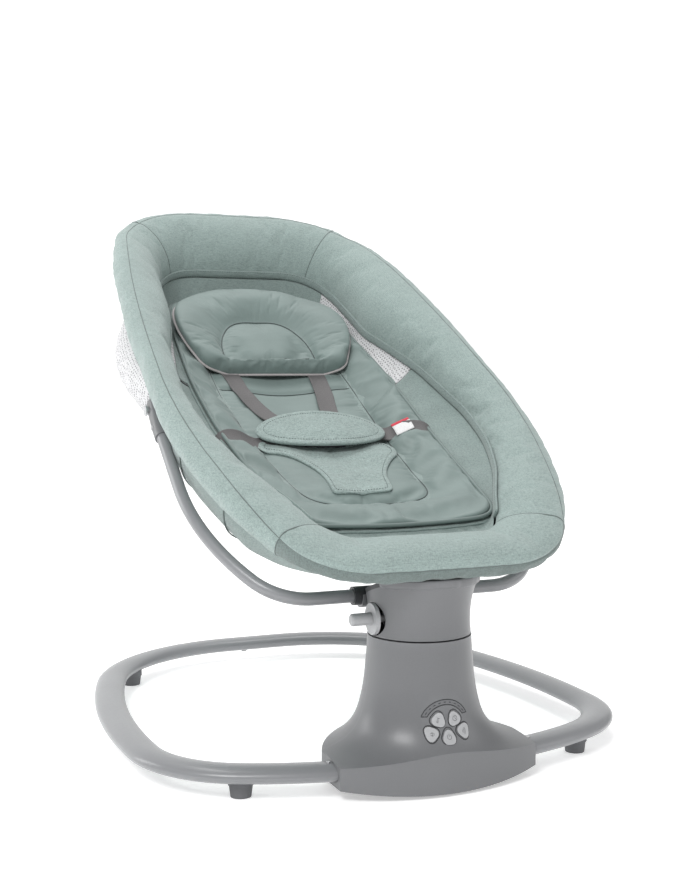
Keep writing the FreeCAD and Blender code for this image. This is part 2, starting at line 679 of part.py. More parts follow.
def arm_edges():
    edges = plane_path(ARM_LATERAL, ARM_ARCS, arm_point)[:3]
    last = edges[-1]
    start = last.valueAt(last.LastParameter)
    edges.append(Part.makeLine(start, start + ARM_RISE * ARM_END_RUN))
    return edges


def arm():
    edges = arm_edges()
    button = hub_spot(HUB_BUTTON_AT)
    tube = sweep(edges, circle(ARM_R)).cut(sweep(edges, circle(ARM_R - ARM_WALL)))
    return tube.cut(rod(HUB_BUTTON_HOLE, button, button + V(20, 0, 0)))


def arm_top():
    last = arm_edges()[-1]
    return last.valueAt(last.LastParameter)


def hub_spot(along):
    """A point on the hub's axis, measured from its mouth."""
    return arm_top() + ARM_RISE * (along - HUB_SOCKET)


def hub():
    """Tapered grey fitting on the arm's top: socket below, pivot ear above."""
    wires = []
    for along, half_w, half_d in ((0.0, 8.6, 9.2), (20.0, 8.6, 9.4), (40.0, 7.6, 10.0), (HUB_LENGTH, 6.0, 10.5)):
        spot = hub_spot(along)
        across = ARM_RISE.cross(V(1, 0, 0))
        wires.append(ellipse_wire(spot, across, V(1, 0, 0), half_d, half_w))
    body = Part.makeLoft(wires, True, False)
    body = body.cut(rod(ARM_R, hub_spot(-1.0), hub_spot(HUB_SOCKET)))
    pivot = hub_spot(PIVOT_AT)
    body = body.cut(rod(PIVOT_R + RUNNING_GAP, pivot - V(30, 0, 0), pivot + V(30, 0, 0)))
    button = hub_spot(HUB_BUTTON_AT)
    return body.cut(rod(HUB_BUTTON_HOLE, button, button + V(20, 0, 0)))


def hub_snap_button():
    """Sprung pin that stands out of the hub's outer side and holds the arm in the socket."""
    button = hub_spot(HUB_BUTTON_AT)
    pin = rod(3.1, button + V(2.6, 0, 0), button + V(9.6, 0, 0))
    return pin.makeFillet(1.2, [edge for edge in pin.Edges if edge.BoundBox.XMin > button.x + 9.5])


def pivot_pins():
    spot = hub_spot(PIVOT_AT)
    shank = rod(PIVOT_R, V(PIVOT_INNER_X, spot.y, spot.z), V(spot.x + 8.4, spot.y, spot.z))
    head = rod(PIVOT_R + 2.5, V(spot.x + 8.4, spot.y, spot.z), V(spot.x + 10.4, spot.y, spot.z))
    pin = shank.fuse(head)
    return Part.makeCompound([pin, mirrored(pin)])


# ---- seat frame ---------------------------------------------------------------------------------
SLOPE = math.radians(SEAT_SLOPE)
ALONG = V(0, math.cos(SLOPE), math.sin(SLOPE))
DOWN = V(0, math.sin(SLOPE), -math.cos(SLOPE))


def seat_point(x, along, depth=0.0):
    """A point of the seat: across, distance from the foot end, depth below the rim's plane."""
    return SEAT_FOOT + V(x, 0, 0) + ALONG * along + DOWN * depth


def rim_edges(first, last):
    return plane_path(RIM_STRAIGHT, RIM_ARCS, seat_point, first, last)


FOOT_EDGES = (0, 3)            # middle of the foot end up to the side joint
HEAD_EDGES = (3, None)         # side joint to the middle of the head end
FOOT_PAD = (0, 2)              # middle of the foot end and the foot corner
SIDE_PAD = (2, 4)
HEAD_PAD = (4, None)           # head corner and the middle of the head end


def frame_tube(edges_span):
    outer = sweep(rim_edges(*edges_span), circle(RIM_TUBE_R))
    inner = sweep(rim_edges(*edges_span), circle(RIM_TUBE_R - RIM_TUBE_WALL))
    half = outer.cut(inner)
    return half.fuse(mirrored(half))


def side_joint():
    edge = rim_edges(2, 3)[0]
    return edge.valueAt(edge.LastParameter)


def seat_bracket():
    """Sleeve round the frame's side joint with a plate that hangs down to the pivot."""
    joint = side_joint()
    bore_r = RIM_TUBE_R + BRACKET_PLAY
    sleeve = rod(bore_r + SLEEVE_WALL, joint - ALONG * BRACKET_HALF, joint + ALONG * BRACKET_HALF)
    pivot = hub_spot(PIVOT_AT)
    plate_top = joint + DOWN * (RIM_TUBE_R + 1.0)
    outline = [
        plate_top - ALONG * BRACKET_HALF,
        plate_top + ALONG * BRACKET_HALF,
        V(0, pivot.y, pivot.z) + ALONG * 11.0,
        V(0, pivot.y, pivot.z) + ALONG * 8.0 + DOWN * 10.0,
        V(0, pivot.y, pivot.z) - ALONG * 8.0 + DOWN * 10.0,
        V(0, pivot.y, pivot.z) - ALONG * 11.0,
    ]
    flat = [V(PIVOT_INNER_X, point.y, point.z) for point in outline]
    plate = Part.Face(Part.makePolygon(flat + [flat[0]])).extrude(V(BRACKET_T, 0, 0))
    shelf = [
        V(PIVOT_INNER_X, joint.y, joint.z) + DOWN * RIM_TUBE_R - ALONG * BRACKET_HALF,
        V(joint.x, joint.y, joint.z) + DOWN * RIM_TUBE_R - ALONG * BRACKET_HALF,
        V(joint.x, joint.y, joint.z) + DOWN * (RIM_TUBE_R + 3.0) - ALONG * BRACKET_HALF,
        V(PIVOT_INNER_X, joint.y, joint.z) + DOWN * (RIM_TUBE_R + 3.0) - ALONG * BRACKET_HALF,
    ]
    web = Part.Face(Part.makePolygon(shelf + [shelf[0]])).extrude(ALONG * 2 * BRACKET_HALF)
    bracket = sleeve.fuse(plate).fuse(web)
    bore = rod(bore_r, joint - ALONG * 2 * BRACKET_HALF, joint + ALONG * 2 * BRACKET_HALF)
    pin_hole = rod(PIVOT_R, V(PIVOT_INNER_X - 5, pivot.y, pivot.z), V(PIVOT_INNER_X + 9, pivot.y, pivot.z))
    return bracket.cut(bore).cut(pin_hole)


# ---- padding and fabric -------------------------------------------------------------------------
def rim_pad(span):
    """Padded sleeve over part of the rim, with the frame tube's space left free inside."""
    return pad_solid(span).cut(sweep(rim_edges(*span), circle(RIM_TUBE_R + 0.1)))


def pad_solid(span):
    body = sweep(rim_edges(*span), oval(PAD_HALF_W, PAD_HALF_H, DOWN * -1))
    body.translate(DOWN * -PAD_LIFT)
    return body


def side_pad():
    """The pad between the foot corner and the head corner, with room for the bracket."""
    joint = side_joint()
    pocket = rod(RIM_TUBE_R + 2.8, joint - ALONG * (BRACKET_HALF + 1), joint + ALONG * (BRACKET_HALF + 1))
    room = box_on_seat(PIVOT_INNER_X - 1.0, joint.x + 1.0, -BRACKET_HALF - 1.0, BRACKET_HALF + 1.0, joint)
    return rim_pad(SIDE_PAD).cut(pocket).cut(room)


def box_on_seat(x0, x1, along0, along1, origin):
    """A block that lies along the seat from origin, from the frame tube's middle down past the pad."""
    corners = []
    for x, along in ((x0, along0), (x1, along0), (x1, along1), (x0, along1)):
        corners.append(V(x, origin.y, origin.z) + ALONG * along)
    return Part.Face(Part.makePolygon(corners + [corners[0]])).extrude(DOWN * 60)


def hammock_solid(inset):
    """The seat's hollow as a solid: a flat top in the rim's plane and a curved underside."""
    wires = []
    count = 15
    for along, half_w, depth in LINER_STATIONS:
        near_foot = along == LINER_STATIONS[0][0]
        near_head = along == LINER_STATIONS[-1][0]
        spot = along + (inset if near_foot else 0) - (inset if near_head else 0)
        points = []
        for step in range(count):
            angle = math.pi * step / (count - 1)
            x = math.copysign(abs(math.cos(angle)) ** (2 / LINER_POWER), math.cos(angle))
            down = abs(math.sin(angle)) ** (2 / LINER_POWER)
            points.append(seat_point((half_w - inset) * x, spot, (depth - inset) * down))
        left_top = seat_point(-(half_w - inset), spot, -20.0 if inset else 0.0)
        right_top = seat_point(half_w - inset, spot, -20.0 if inset else 0.0)
        edges = [open_spline(points)]
        if inset:
            edges.append(Part.makeLine(points[-1], left_top))
            edges.append(Part.makeLine(left_top, right_top))
            edges.append(Part.makeLine(right_top, points[0]))
        else:
            edges.append(Part.makeLine(points[-1], points[0]))
        wires.append(Part.Wire(edges))
    side = [
        seat_point(-250, HEAD_WALL_TOP - inset, -40),
        seat_point(-250, HEAD_WALL_TOP - inset - HEAD_WALL_LEAN, 150),
        seat_point(-250, HEAD_WALL_TOP + 200, 150),
        seat_point(-250, HEAD_WALL_TOP + 200, -40),
    ]
    beyond = Part.Face(Part.makePolygon(side + [side[0]])).extrude(V(500, 0, 0))
    return Part.makeLoft(wires, True, False).cut(beyond)


def seat_liner():
    """Fabric hammock that hangs from the rim."""
    liner = hammock_solid(0).cut(hammock_solid(LINER_T))
    for span in (FOOT_PAD, HEAD_PAD):
        pad = pad_solid(span)
        liner = liner.cut(pad).cut(mirrored(pad))
    return liner


def mesh_window():
    """Bulging ventilation mesh outside the liner's upper side."""
    reach = hammock_solid(-2.6).cut(hammock_solid(-1.2))
    corners = [seat_point(60, 470, 24), seat_point(60, 640, 24), seat_point(60, 620, 74), seat_point(60, 480, 60)]
    block = Part.Face(Part.makePolygon(corners + [corners[0]])).extrude(V(160, 0, 0))
    piece = reach.common(block)
    return max(piece.Solids, key=lambda solid: solid.Volume)


def cushion_top(x, along):
    """Depth of the cushion's upper face, from its edge and middle depths."""
    rows = CUSHION_STATIONS
    index = 0
    while index < len(rows) - 2 and along > rows[index + 1][0]:
        index += 1
    low = rows[index]
    high = rows[index + 1]
    share = min(max((along - low[0]) / (high[0] - low[0]), 0.0), 1.0)
    half_w, edge, middle = [low[n] + (high[n] - low[n]) * share for n in (1, 2, 3)]
    return edge + (middle - edge) * (1 - min(abs(x) / half_w, 1.0) ** 2)


def slab(stations, underside, thickness, crown=4):
    """A soft pad along the seat: stations are (along, half width); underside(x, along) is the depth of
    its lower face and thickness(along) its height in the middle. Its sides thin towards the edges."""
    wires = []
    count = 9
    for along, half_w in stations:
        lower = []
        upper = []
        for step in range(count):
            x = half_w * math.cos(math.pi * step / (count - 1))
            swell = 1 - 0.75 * (abs(x) / half_w) ** crown
            base = underside(x, along)
            lower.append(seat_point(x, along, base))
            upper.append(seat_point(x, along, base - thickness(along) * swell))
        edges = [
            open_spline(lower),
            Part.makeLine(lower[-1], upper[-1]),
            open_spline(list(reversed(upper))),
            Part.makeLine(upper[0], lower[0]),
        ]
        wires.append(Part.Wire(edges))
    return Part.makeLoft(wires, True, False)


def seat_cushion():
    stations = [(row[0], row[1]) for row in CUSHION_STATIONS]
    return slab(stations, lambda x, along: cushion_top(x, along) + CUSHION_T * (1 - 0.75 * (abs(x) / 150.0) ** 4),
                lambda along: CUSHION_T)


def head_pillow():
    stations = ((514.0, 98.0), (530.0, 112.0), (565.0, 121.0), (605.0, 122.0), (640.0, 106.0), (664.0, 66.0))
    return slab(stations, lambda x, along: cushion_top(x, along) - SOFT_GAP - 2.0,
                lambda along: 30.0 if 520 < along < 655 else 18.0)


def waist_pad():
    stations = ((308.0, 30.0), (314.0, 52.0), (326.0, 70.0), (345.0, 83.0), (362.0, 84.0), (378.0, 70.0), (388.0, 48.0))
    return slab(stations, lambda x, along: WAIST_PAD_DEPTH, lambda along: 10.0)


def crotch_pad():
    stations = ((197.0, 33.0), (215.0, 34.0), (245.0, 34.0), (262.0, 44.0), (280.0, 68.0), (300.0, 76.0))
    return slab(stations, lambda x, along: cushion_top(x, along) - SOFT_GAP - (along - 197.0) * 0.05,
                lambda along: 8.0)


def harness_buckle():
    """Buckle under the waist pad where the five straps meet."""
    corners = [seat_point(-27, 325, 78), seat_point(27, 325, 78), seat_point(27, 372, 80), seat_point(-27, 372, 80)]
    body = Part.Face(Part.makePolygon(corners + [corners[0]])).extrude(DOWN * -13.0)
    return body.makeFillet(3.0, body.Edges)


def band(spots, width_dir, width, thickness=2.0):
    """A flat strap through the spots; its width runs along width_dir."""
    wires = []
    for index, spot in enumerate(spots):
        before = spots[max(index - 1, 0)]
        after = spots[min(index + 1, len(spots) - 1)]
        forward = (after - before).normalize()
        across = (width_dir - forward * width_dir.dot(forward)).normalize()
        normal = forward.cross(across)
        corners = []
        for side, lift in ((-1, -1), (1, -1), (1, 1), (-1, 1)):
            corners.append(spot + across * (side * width / 2) + normal * (lift * thickness / 2))
        wires.append(Part.makePolygon(corners + [corners[0]]))
    return Part.makeLoft(wires, True, True)


def shoulder_strap():
    spots = []
    for x, along, lift in ((67.0, 500.0, 5.0), (58.0, 470.0, 4.5), (47.0, 430.0, 6.0), (38.0, 396.0, 12.0),
                           (24.0, 378.0, 20.0)):
        spots.append(seat_point(x, along, cushion_top(x, along) - lift))
    return band(spots, V(1, 0, 0), STRAP_W)


def waist_strap():
    spots = []
    for x, along, depth in ((148.0, 352.0, 47.0), (120.0, 350.0, 56.0), (80.0, 349.0, 68.0), (29.0, 348.0, 74.0)):
        spots.append(seat_point(x, along, depth))
    return band(spots, ALONG, STRAP_W)


# ---- the swing ----------------------------------------------------------------------------------
def both_sides(name, shape):
    export(name + "_right", shape)
    export(name + "_left", mirrored(shape))


def build_base():
    left, right, sleeve = base_tubes()
    export("base_tube_left", left)
    export("base_tube_right", right)
    export("base_tube_sleeve", sleeve)
    export("base_snap_button", base_snap_button())
    export("rubber_feet", rubber_feet())
    front, rear, window, caps = housing_shells()
    export("housing_front_shell", front)
    export("housing_rear_shell", rear)
    export("control_panel_window", window)
    for name, cap in caps.items():
        export(name, cap)
    export("dc_inlet_jack", dc_inlet_jack())
    export("housing_bottom_plate", bottom_plate())
    export("housing_screws", housing_screws())
    export("tube_clamps", tube_clamps())
    export("tube_end_screws", tube_end_screws())


def build_drive():
    export("inner_frame", inner_frame())
    export("swivel_bearings", swivel_bearings())
    export("gear_motor", gear_motor())
    export("drive_pinion", drive_pinion())
    export("sector_gear", sector_gear())
    export("swivel_shaft", swivel_shaft())
    export("main_circuit_board", main_circuit_board())
    export("button_circuit_board", button_circuit_board())
    export("speaker", speaker())


def build_neck():
    export("neck_front_shell", neck_front_shell())
    export("neck_rear_bracket", neck_rear_bracket())
    export("neck_core", neck_core())
    export("neck_screws", neck_screws())
    export("swing_lock_knob", swing_lock_knob())
    export("lock_spring", lock_spring())
    both_sides("arm", arm())
    both_sides("hub", hub())
    both_sides("hub_snap_button", hub_snap_button())


def build_seat():
    export("seat_frame_foot_tube", frame_tube(FOOT_EDGES))
    export("seat_frame_head_tube", frame_tube(HEAD_EDGES))
    both_sides("seat_bracket", seat_bracket())
    export("pivot_pins", pivot_pins())
    foot = rim_pad(FOOT_PAD)
    head = rim_pad(HEAD_PAD)
    export("rim_pad_foot", foot.fuse(mirrored(foot)))
    export("rim_pad_head", head.fuse(mirrored(head)))
    both_sides("rim_pad", side_pad())
    export("seat_liner", seat_liner())
    both_sides("mesh_window", mesh_window())
    export("seat_cushion", seat_cushion())
    export("head_pillow", head_pillow())
    export("waist_pad", waist_pad())
    export("crotch_pad", crotch_pad())
    export("harness_buckle", harness_buckle())
    both_sides("shoulder_strap", shoulder_strap())
    both_sides("waist_strap", waist_strap())


os.makedirs("parts", exist_ok=True)
build_base()
build_drive()
build_neck()
build_seat()
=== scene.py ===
"""Looks of the baby swing, built round its CAD frame. Metres, +Z up; the seat's own sizes are in mm."""
import json
import math

import bmesh
import bpy
import numpy as np
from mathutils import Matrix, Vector, noise
from mathutils.bvhtree import BVHTree


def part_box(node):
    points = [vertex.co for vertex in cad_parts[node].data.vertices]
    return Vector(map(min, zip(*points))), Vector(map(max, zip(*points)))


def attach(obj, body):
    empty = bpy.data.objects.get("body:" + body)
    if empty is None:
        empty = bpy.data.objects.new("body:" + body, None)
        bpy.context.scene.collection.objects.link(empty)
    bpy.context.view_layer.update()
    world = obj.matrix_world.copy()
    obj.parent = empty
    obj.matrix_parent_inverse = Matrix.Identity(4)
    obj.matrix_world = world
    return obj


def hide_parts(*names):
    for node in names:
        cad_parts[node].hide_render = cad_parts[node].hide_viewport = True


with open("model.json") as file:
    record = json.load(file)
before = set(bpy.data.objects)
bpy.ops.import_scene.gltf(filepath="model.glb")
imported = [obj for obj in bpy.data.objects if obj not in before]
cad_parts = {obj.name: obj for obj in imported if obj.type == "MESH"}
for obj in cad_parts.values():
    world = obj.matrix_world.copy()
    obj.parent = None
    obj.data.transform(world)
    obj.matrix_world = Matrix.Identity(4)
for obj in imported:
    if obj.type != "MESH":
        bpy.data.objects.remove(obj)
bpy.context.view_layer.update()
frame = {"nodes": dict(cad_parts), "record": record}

# ---- driving values -----------------------------------------------------------------------------
MM = 0.001
SEAT_SLOPE = 30.5
RIM_STRAIGHT = 67.0
RIM_ARCS = ((92.0, 66.7), (698.0, 24.9), (3230.0, 6.6), (115.2, 81.8))   # radius, turn in degrees
RIM_TUBE_R = 8.0
CAMERA_AT = (-0.5597, -1.4635, 0.4205)
CAMERA_AZIMUTH = -22.464
CAMERA_PITCH = 3.0
CAMERA_LENS = 52.25
CAMERA_SENSOR = 36.0

# along the seat; how far the binding lies inside the rim's tube; its depth; the crest seam's place
BANK_ROWS = ((0, 62, 12, 1.15), (30, 62, 12, 1.2), (60, 56, 11, 1.5), (110, 54, 10, 1.75),
             (160, 45, 11, 1.85), (240, 35, 19, 1.9), (331, 29, 30, 1.9), (457, 34, 42, 1.9),
             (522, 43, 50, 1.9), (582, 54, 57, 1.9), (687, 49, 60, 1.95), (748, 56, 60, 2.0),
             (800, 62, 58, 2.0), (820, 64, 58, 2.0))
# along the seat: the crest above the rim's tube, the outer bulge, the underside below the tube
RIM_ROWS = ((0, 19, 11, 10), (40, 20, 14, 10.5), (110, 21, 21, 12), (240, 21, 20, 12),
            (320, 21, 17, 12), (400, 21, 17, 12), (460, 21, 21, 12), (640, 21, 22, 12),
            (700, 17, 18, 12), (770, 9, 11, 11), (826, 11, 14, 11))
# along the seat: the hammock's greatest depth
HAMMOCK_ROWS = ((0, 30), (60, 46), (110, 62), (200, 90), (300, 114), (400, 132), (500, 141), (600, 139),
                (700, 129), (820, 105))
# along the seat, half width of the cushion, depth of its top at the edge and in the middle
CUSHION_ROWS = ((80, 100, 15, 17), (105, 116, 17, 24), (150, 123, 24, 38), (250, 130, 41, 68),
                (350, 136, 54, 90), (450, 137, 61, 103), (550, 131, 66, 106), (650, 120, 72, 98),
                (722, 104, 80, 89))


# ---- seat coordinates -----------------------------------------------------------------------------
foot_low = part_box("seat_frame_foot_tube")[0]
SEAT_FOOT = np.array((0.0, foot_low.y + RIM_TUBE_R * MM, foot_low.z + RIM_TUBE_R * MM))
slope = math.radians(SEAT_SLOPE)
ACROSS = np.array((1.0, 0.0, 0.0))
ALONG = np.array((0.0, math.cos(slope), math.sin(slope)))
DOWN = np.array((0.0, math.sin(slope), -math.cos(slope)))


def seat(x, s, d):
    """Points of the seat in metres: across, along from the foot end, depth below the rim's plane."""
    x, s, d = np.broadcast_arrays(np.asarray(x, float), np.asarray(s, float), np.asarray(d, float))
    return SEAT_FOOT + MM * (x[..., None] * ACROSS + s[..., None] * ALONG + d[..., None] * DOWN)


def smoothed(values, width):
    """Evenly spaced values rounded off over an odd width of samples; straight ends stay straight."""
    kernel = np.hanning(width)
    padded = np.pad(values, width // 2, mode="reflect", reflect_type="odd")
    return np.convolve(padded, kernel / kernel.sum(), mode="valid")


def rows_at(rows, column, at):
    """A column of a table of rows, read at the places at, with its corners rounded off."""
    table = np.array(rows, float)
    fine = np.arange(table[0, 0] - 60.0, table[-1, 0] + 60.0, 4.0)
    return np.interp(at, fine, smoothed(np.interp(fine, table[:, 0], table[:, column]), 15))


def rim_half():
    """The rim's right half from the foot's middle to the head's middle: arc length, x, s, heading."""
    x, s, heading = [0.0], [0.0], [0.0]
    spans = [(RIM_STRAIGHT, 0.0)]
    for radius, turn in RIM_ARCS:
        spans.append((radius * math.radians(turn), 1.0 / radius))
    for length, curvature in spans:
        count = max(int(length), 1)
        step = length / count
        for _ in range(count):
            middle = heading[-1] + curvature * step / 2
            x.append(x[-1] + math.cos(middle) * step)
            s.append(s[-1] + math.sin(middle) * step)
            heading.append(heading[-1] + curvature * step)
    for left in [*np.arange(x[-1] - 1.0, 0.0, -1.0), 0.0]:
        x.append(left)
        s.append(s[-1])
        heading.append(math.pi)
    x, s, heading = np.array(x), np.array(s), np.array(heading)
    length = np.concatenate([[0], np.cumsum(np.hypot(np.diff(x), np.diff(s)))])
    return length, x, s, heading


HALF_T, HALF_X, HALF_S, HALF_HEADING = rim_half()
RIM_HALF = HALF_T[-1]
RIM_S = HALF_S[-1]


def rim_at(t):
    """Rim places t (0 to 2, 0 and 2 at the foot's middle, 1 at the head's): x, s and outward normal."""
    t = np.asarray(t, float) % 2.0
    right = t <= 1.0
    length = np.where(right, t, 2.0 - t) * RIM_HALF
    side = np.where(right, 1.0, -1.0)
    heading = np.interp(length, HALF_T, HALF_HEADING)
    return (np.interp(length, HALF_T, HALF_X) * side, np.interp(length, HALF_T, HALF_S),
            np.sin(heading) * side, -np.cos(heading))


def rim_place(s, side=1):
    """The t of the rim's side at a distance s from the foot end."""
    t = np.interp(s, HALF_S, HALF_T) / RIM_HALF
    return t if side > 0 else 2.0 - t


def rest_depth(x, s):
    """Depth of the surface that the baby lies on."""
    half = rows_at(CUSHION_ROWS, 1, s)
    edge = rows_at(CUSHION_ROWS, 2, s)
    middle = rows_at(CUSHION_ROWS, 3, s)
    return edge + (middle - edge) * (1 - np.minimum(np.abs(x) / half, 1.15) ** 2)


# ---- mesh helpers ---------------------------------------------------------------------------------
def mesh_object(name, points, faces, material):
    """A smooth-shaded mesh in the scene, with one material."""
    mesh = bpy.data.meshes.new(name)
    mesh.from_pydata([tuple(p) for p in points], [], [tuple(int(i) for i in f) for f in faces])
    mesh.validate()
    mesh.update()
    for polygon in mesh.polygons:
        polygon.use_smooth = True
    obj = bpy.data.objects.new(name, mesh)
    bpy.context.scene.collection.objects.link(obj)
    obj.data.materials.append(material)
    return obj


def grid_faces(rows, columns, wrap_rows, wrap_columns, start=0):
    """Quads of a grid of points stored row by row."""
    faces = []
    for i in range(rows if wrap_rows else rows - 1):
        for j in range(columns if wrap_columns else columns - 1):
            a = start + i * columns + j
            b = start + i * columns + (j + 1) % columns
            c = start + ((i + 1) % rows) * columns + (j + 1) % columns
            d = start + ((i + 1) % rows) * columns + j
            faces.append((a, b, c, d))
    return faces


def capped_tube_faces(count, sides):
    """Quads of an open tube of rings, with a cap at each end."""
    faces = grid_faces(count, sides, False, True)
    faces.append(tuple(range(sides))[::-1])
    faces.append(tuple(range((count - 1) * sides, count * sides)))
    return faces


def tidy_mesh(obj, merge=0.0):
    """Joins doubled points, drops collapsed faces and turns every face outwards."""
    bm = bmesh.new()
    bm.from_mesh(obj.data)
    if merge:
        bmesh.ops.remove_doubles(bm, verts=bm.verts, dist=merge)
    bmesh.ops.dissolve_degenerate(bm, dist=1e-7, edges=bm.edges)
    bmesh.ops.recalc_face_normals(bm, faces=bm.faces)
    bm.to_mesh(obj.data)
    bm.free()
    return obj


def vertex_rows(mesh, attribute):
    values = np.zeros(len(mesh.vertices) * 3)
    mesh.vertices.foreach_get(attribute, values)
    return values.reshape(-1, 3)


def ringed(name, rings, material):
    """A solid from an open row of rings of points, capped at both ends."""
    faces = capped_tube_faces(*rings.shape[:2])
    return tidy_mesh(mesh_object(name, rings.reshape(-1, 3), faces, material))


def get_points(obj):
    return vertex_rows(obj.data, "co")


def normals_of(obj):
    return vertex_rows(obj.data, "normal")


def set_points(obj, points):
    obj.data.vertices.foreach_set("co", points.astype(np.float32).ravel())
    obj.data.update()


def subdivide(obj):
    modifier = obj.modifiers.new("smooth", "SUBSURF")
    modifier.levels = modifier.render_levels = 1
    return obj


def soft_noise(points, scale, amount, seed=0.0):
    """Smooth noise at points, in metres, for small unevenness."""
    shift = Vector((seed * 3.1, seed * 1.7, seed * 2.3))
    return np.array([noise.noise(Vector(p) / scale + shift) for p in points]) * amount


def unit(vectors, least=0.0):
    return vectors / (np.linalg.norm(vectors, axis=1)[:, None] + least)


def along_path(path):
    """Distance of each of a path's points from its first."""
    return np.concatenate([[0], np.cumsum(np.linalg.norm(np.diff(path, axis=0), axis=1))])


def read_path(path, steps, places):
    """The path's points at the distances places."""
    return np.stack([np.interp(places, steps, column) for column in path.T], 1)


CLOTH_FRAMES = 18
CLOTH_STIFFNESS = 12.0
CLOTH_SETTINGS = {"quality": 6, "mass": 0.25, "tension_stiffness": CLOTH_STIFFNESS,
                  "compression_stiffness": CLOTH_STIFFNESS, "shear_stiffness": CLOTH_STIFFNESS / 2,
                  "bending_stiffness": 0.15, "vertex_group_mass": "sewn", "use_pressure": True}


def blow(obj, sewn, pressure, slack, cap):
    """Blows padded cloth up between its sewn points by simulation, and keeps the result on the mesh."""
    rest = get_points(obj)
    group = obj.vertex_groups.new(name="sewn")
    group.add([int(i) for i in np.nonzero(sewn)[0]], 1.0, "REPLACE")
    modifier = obj.modifiers.new("cloth", "CLOTH")
    cloth = modifier.settings
    for setting, value in CLOTH_SETTINGS.items():
        setattr(cloth, setting, value)
    cloth.uniform_pressure_force = pressure
    cloth.shrink_min = -slack
    cloth.effector_weights.gravity = 0.0
    modifier.collision_settings.use_collision = False
    modifier.point_cache.frame_start = 1
    modifier.point_cache.frame_end = CLOTH_FRAMES
    scene = bpy.context.scene
    for step in range(1, CLOTH_FRAMES + 1):
        scene.frame_set(step)
    graph = bpy.context.evaluated_depsgraph_get()
    shift = vertex_rows(obj.evaluated_get(graph).data, "co") - rest
    length = np.linalg.norm(shift, axis=1)[:, None] + 1e-12
    shift *= cap * np.tanh(length / cap) / length
    obj.modifiers.remove(modifier)
    obj.vertex_groups.remove(group)
    scene.frame_set(1)
    set_points(obj, rest + shift)


TINY = 1e-12   # keeps a division by a length of zero from failing


def tube(name, path, radius, material, closed=False, sides=8, flat=1.0, up=None):
    """A cord of cloth or thread along a path; flat under 1 makes it a band that faces up."""
    path = np.asarray(path)
    if closed:
        ahead = np.roll(path, -1, 0) - np.roll(path, 1, 0)
    else:
        ahead = np.gradient(path, axis=0)
    ahead = unit(ahead, TINY)
    up = np.broadcast_to(-DOWN if up is None else np.asarray(up), path.shape)
    across = unit(np.cross(ahead, up), TINY)
    up = np.cross(across, ahead)
    angles = np.arange(sides) * 2 * math.pi / sides
    rings = (path[:, None, :] + across[:, None, :] * (radius * np.cos(angles))[None, :, None]
             + up[:, None, :] * (radius * flat * np.sin(angles))[None, :, None])
    count = len(path)
    faces = grid_faces(count, sides, True, True) if closed else capped_tube_faces(count, sides)
    return tidy_mesh(mesh_object(name, rings.reshape(-1, 3), faces, material))


STITCH_SHARE = 0.68   # of the pitch; the rest is the gap to the next stitch


def stitches(name, paths, material, pitch, radius):
    """Rows of single thread stitches along the paths, as one piece."""
    sides = 5
    angles = np.arange(sides) * 2 * math.pi / sides
    points, faces = [], []
    for path in paths:
        steps = along_path(path)
        spots = read_path(path, steps, np.arange(0, steps[-1], pitch))
        for here, there in zip(spots[:-1], spots[1:]):
            ahead = (there - here) * STITCH_SHARE
            heading = ahead / np.linalg.norm(ahead)
            across = np.cross(heading, -DOWN)
            across /= np.linalg.norm(across) + 1e-9
            lift = np.cross(across, heading)
            start = len(points)
            points.append(here - lift * radius * 0.8)
            for share_along, girth in ((0.15, 0.8), (0.5, 1.0), (0.85, 0.8)):
                for angle in angles:
                    offset = across * math.cos(angle) + lift * math.sin(angle)
                    points.append(here + ahead * share_along + offset * radius * girth)
            points.append(here + ahead - lift * radius * 0.8)
            end = len(points) - 1
            for k in range(sides):
                after = (k + 1) % sides
                faces.append((start, start + 1 + after, start + 1 + k))
                for ring in range(2):
                    low = start + 1 + ring * sides
                    faces.append((low + k, low + after, low + sides + after, low + sides + k))
                faces.append((end, end - sides + k, end - sides + after))
    return tidy_mesh(mesh_object(name, points, faces, material))


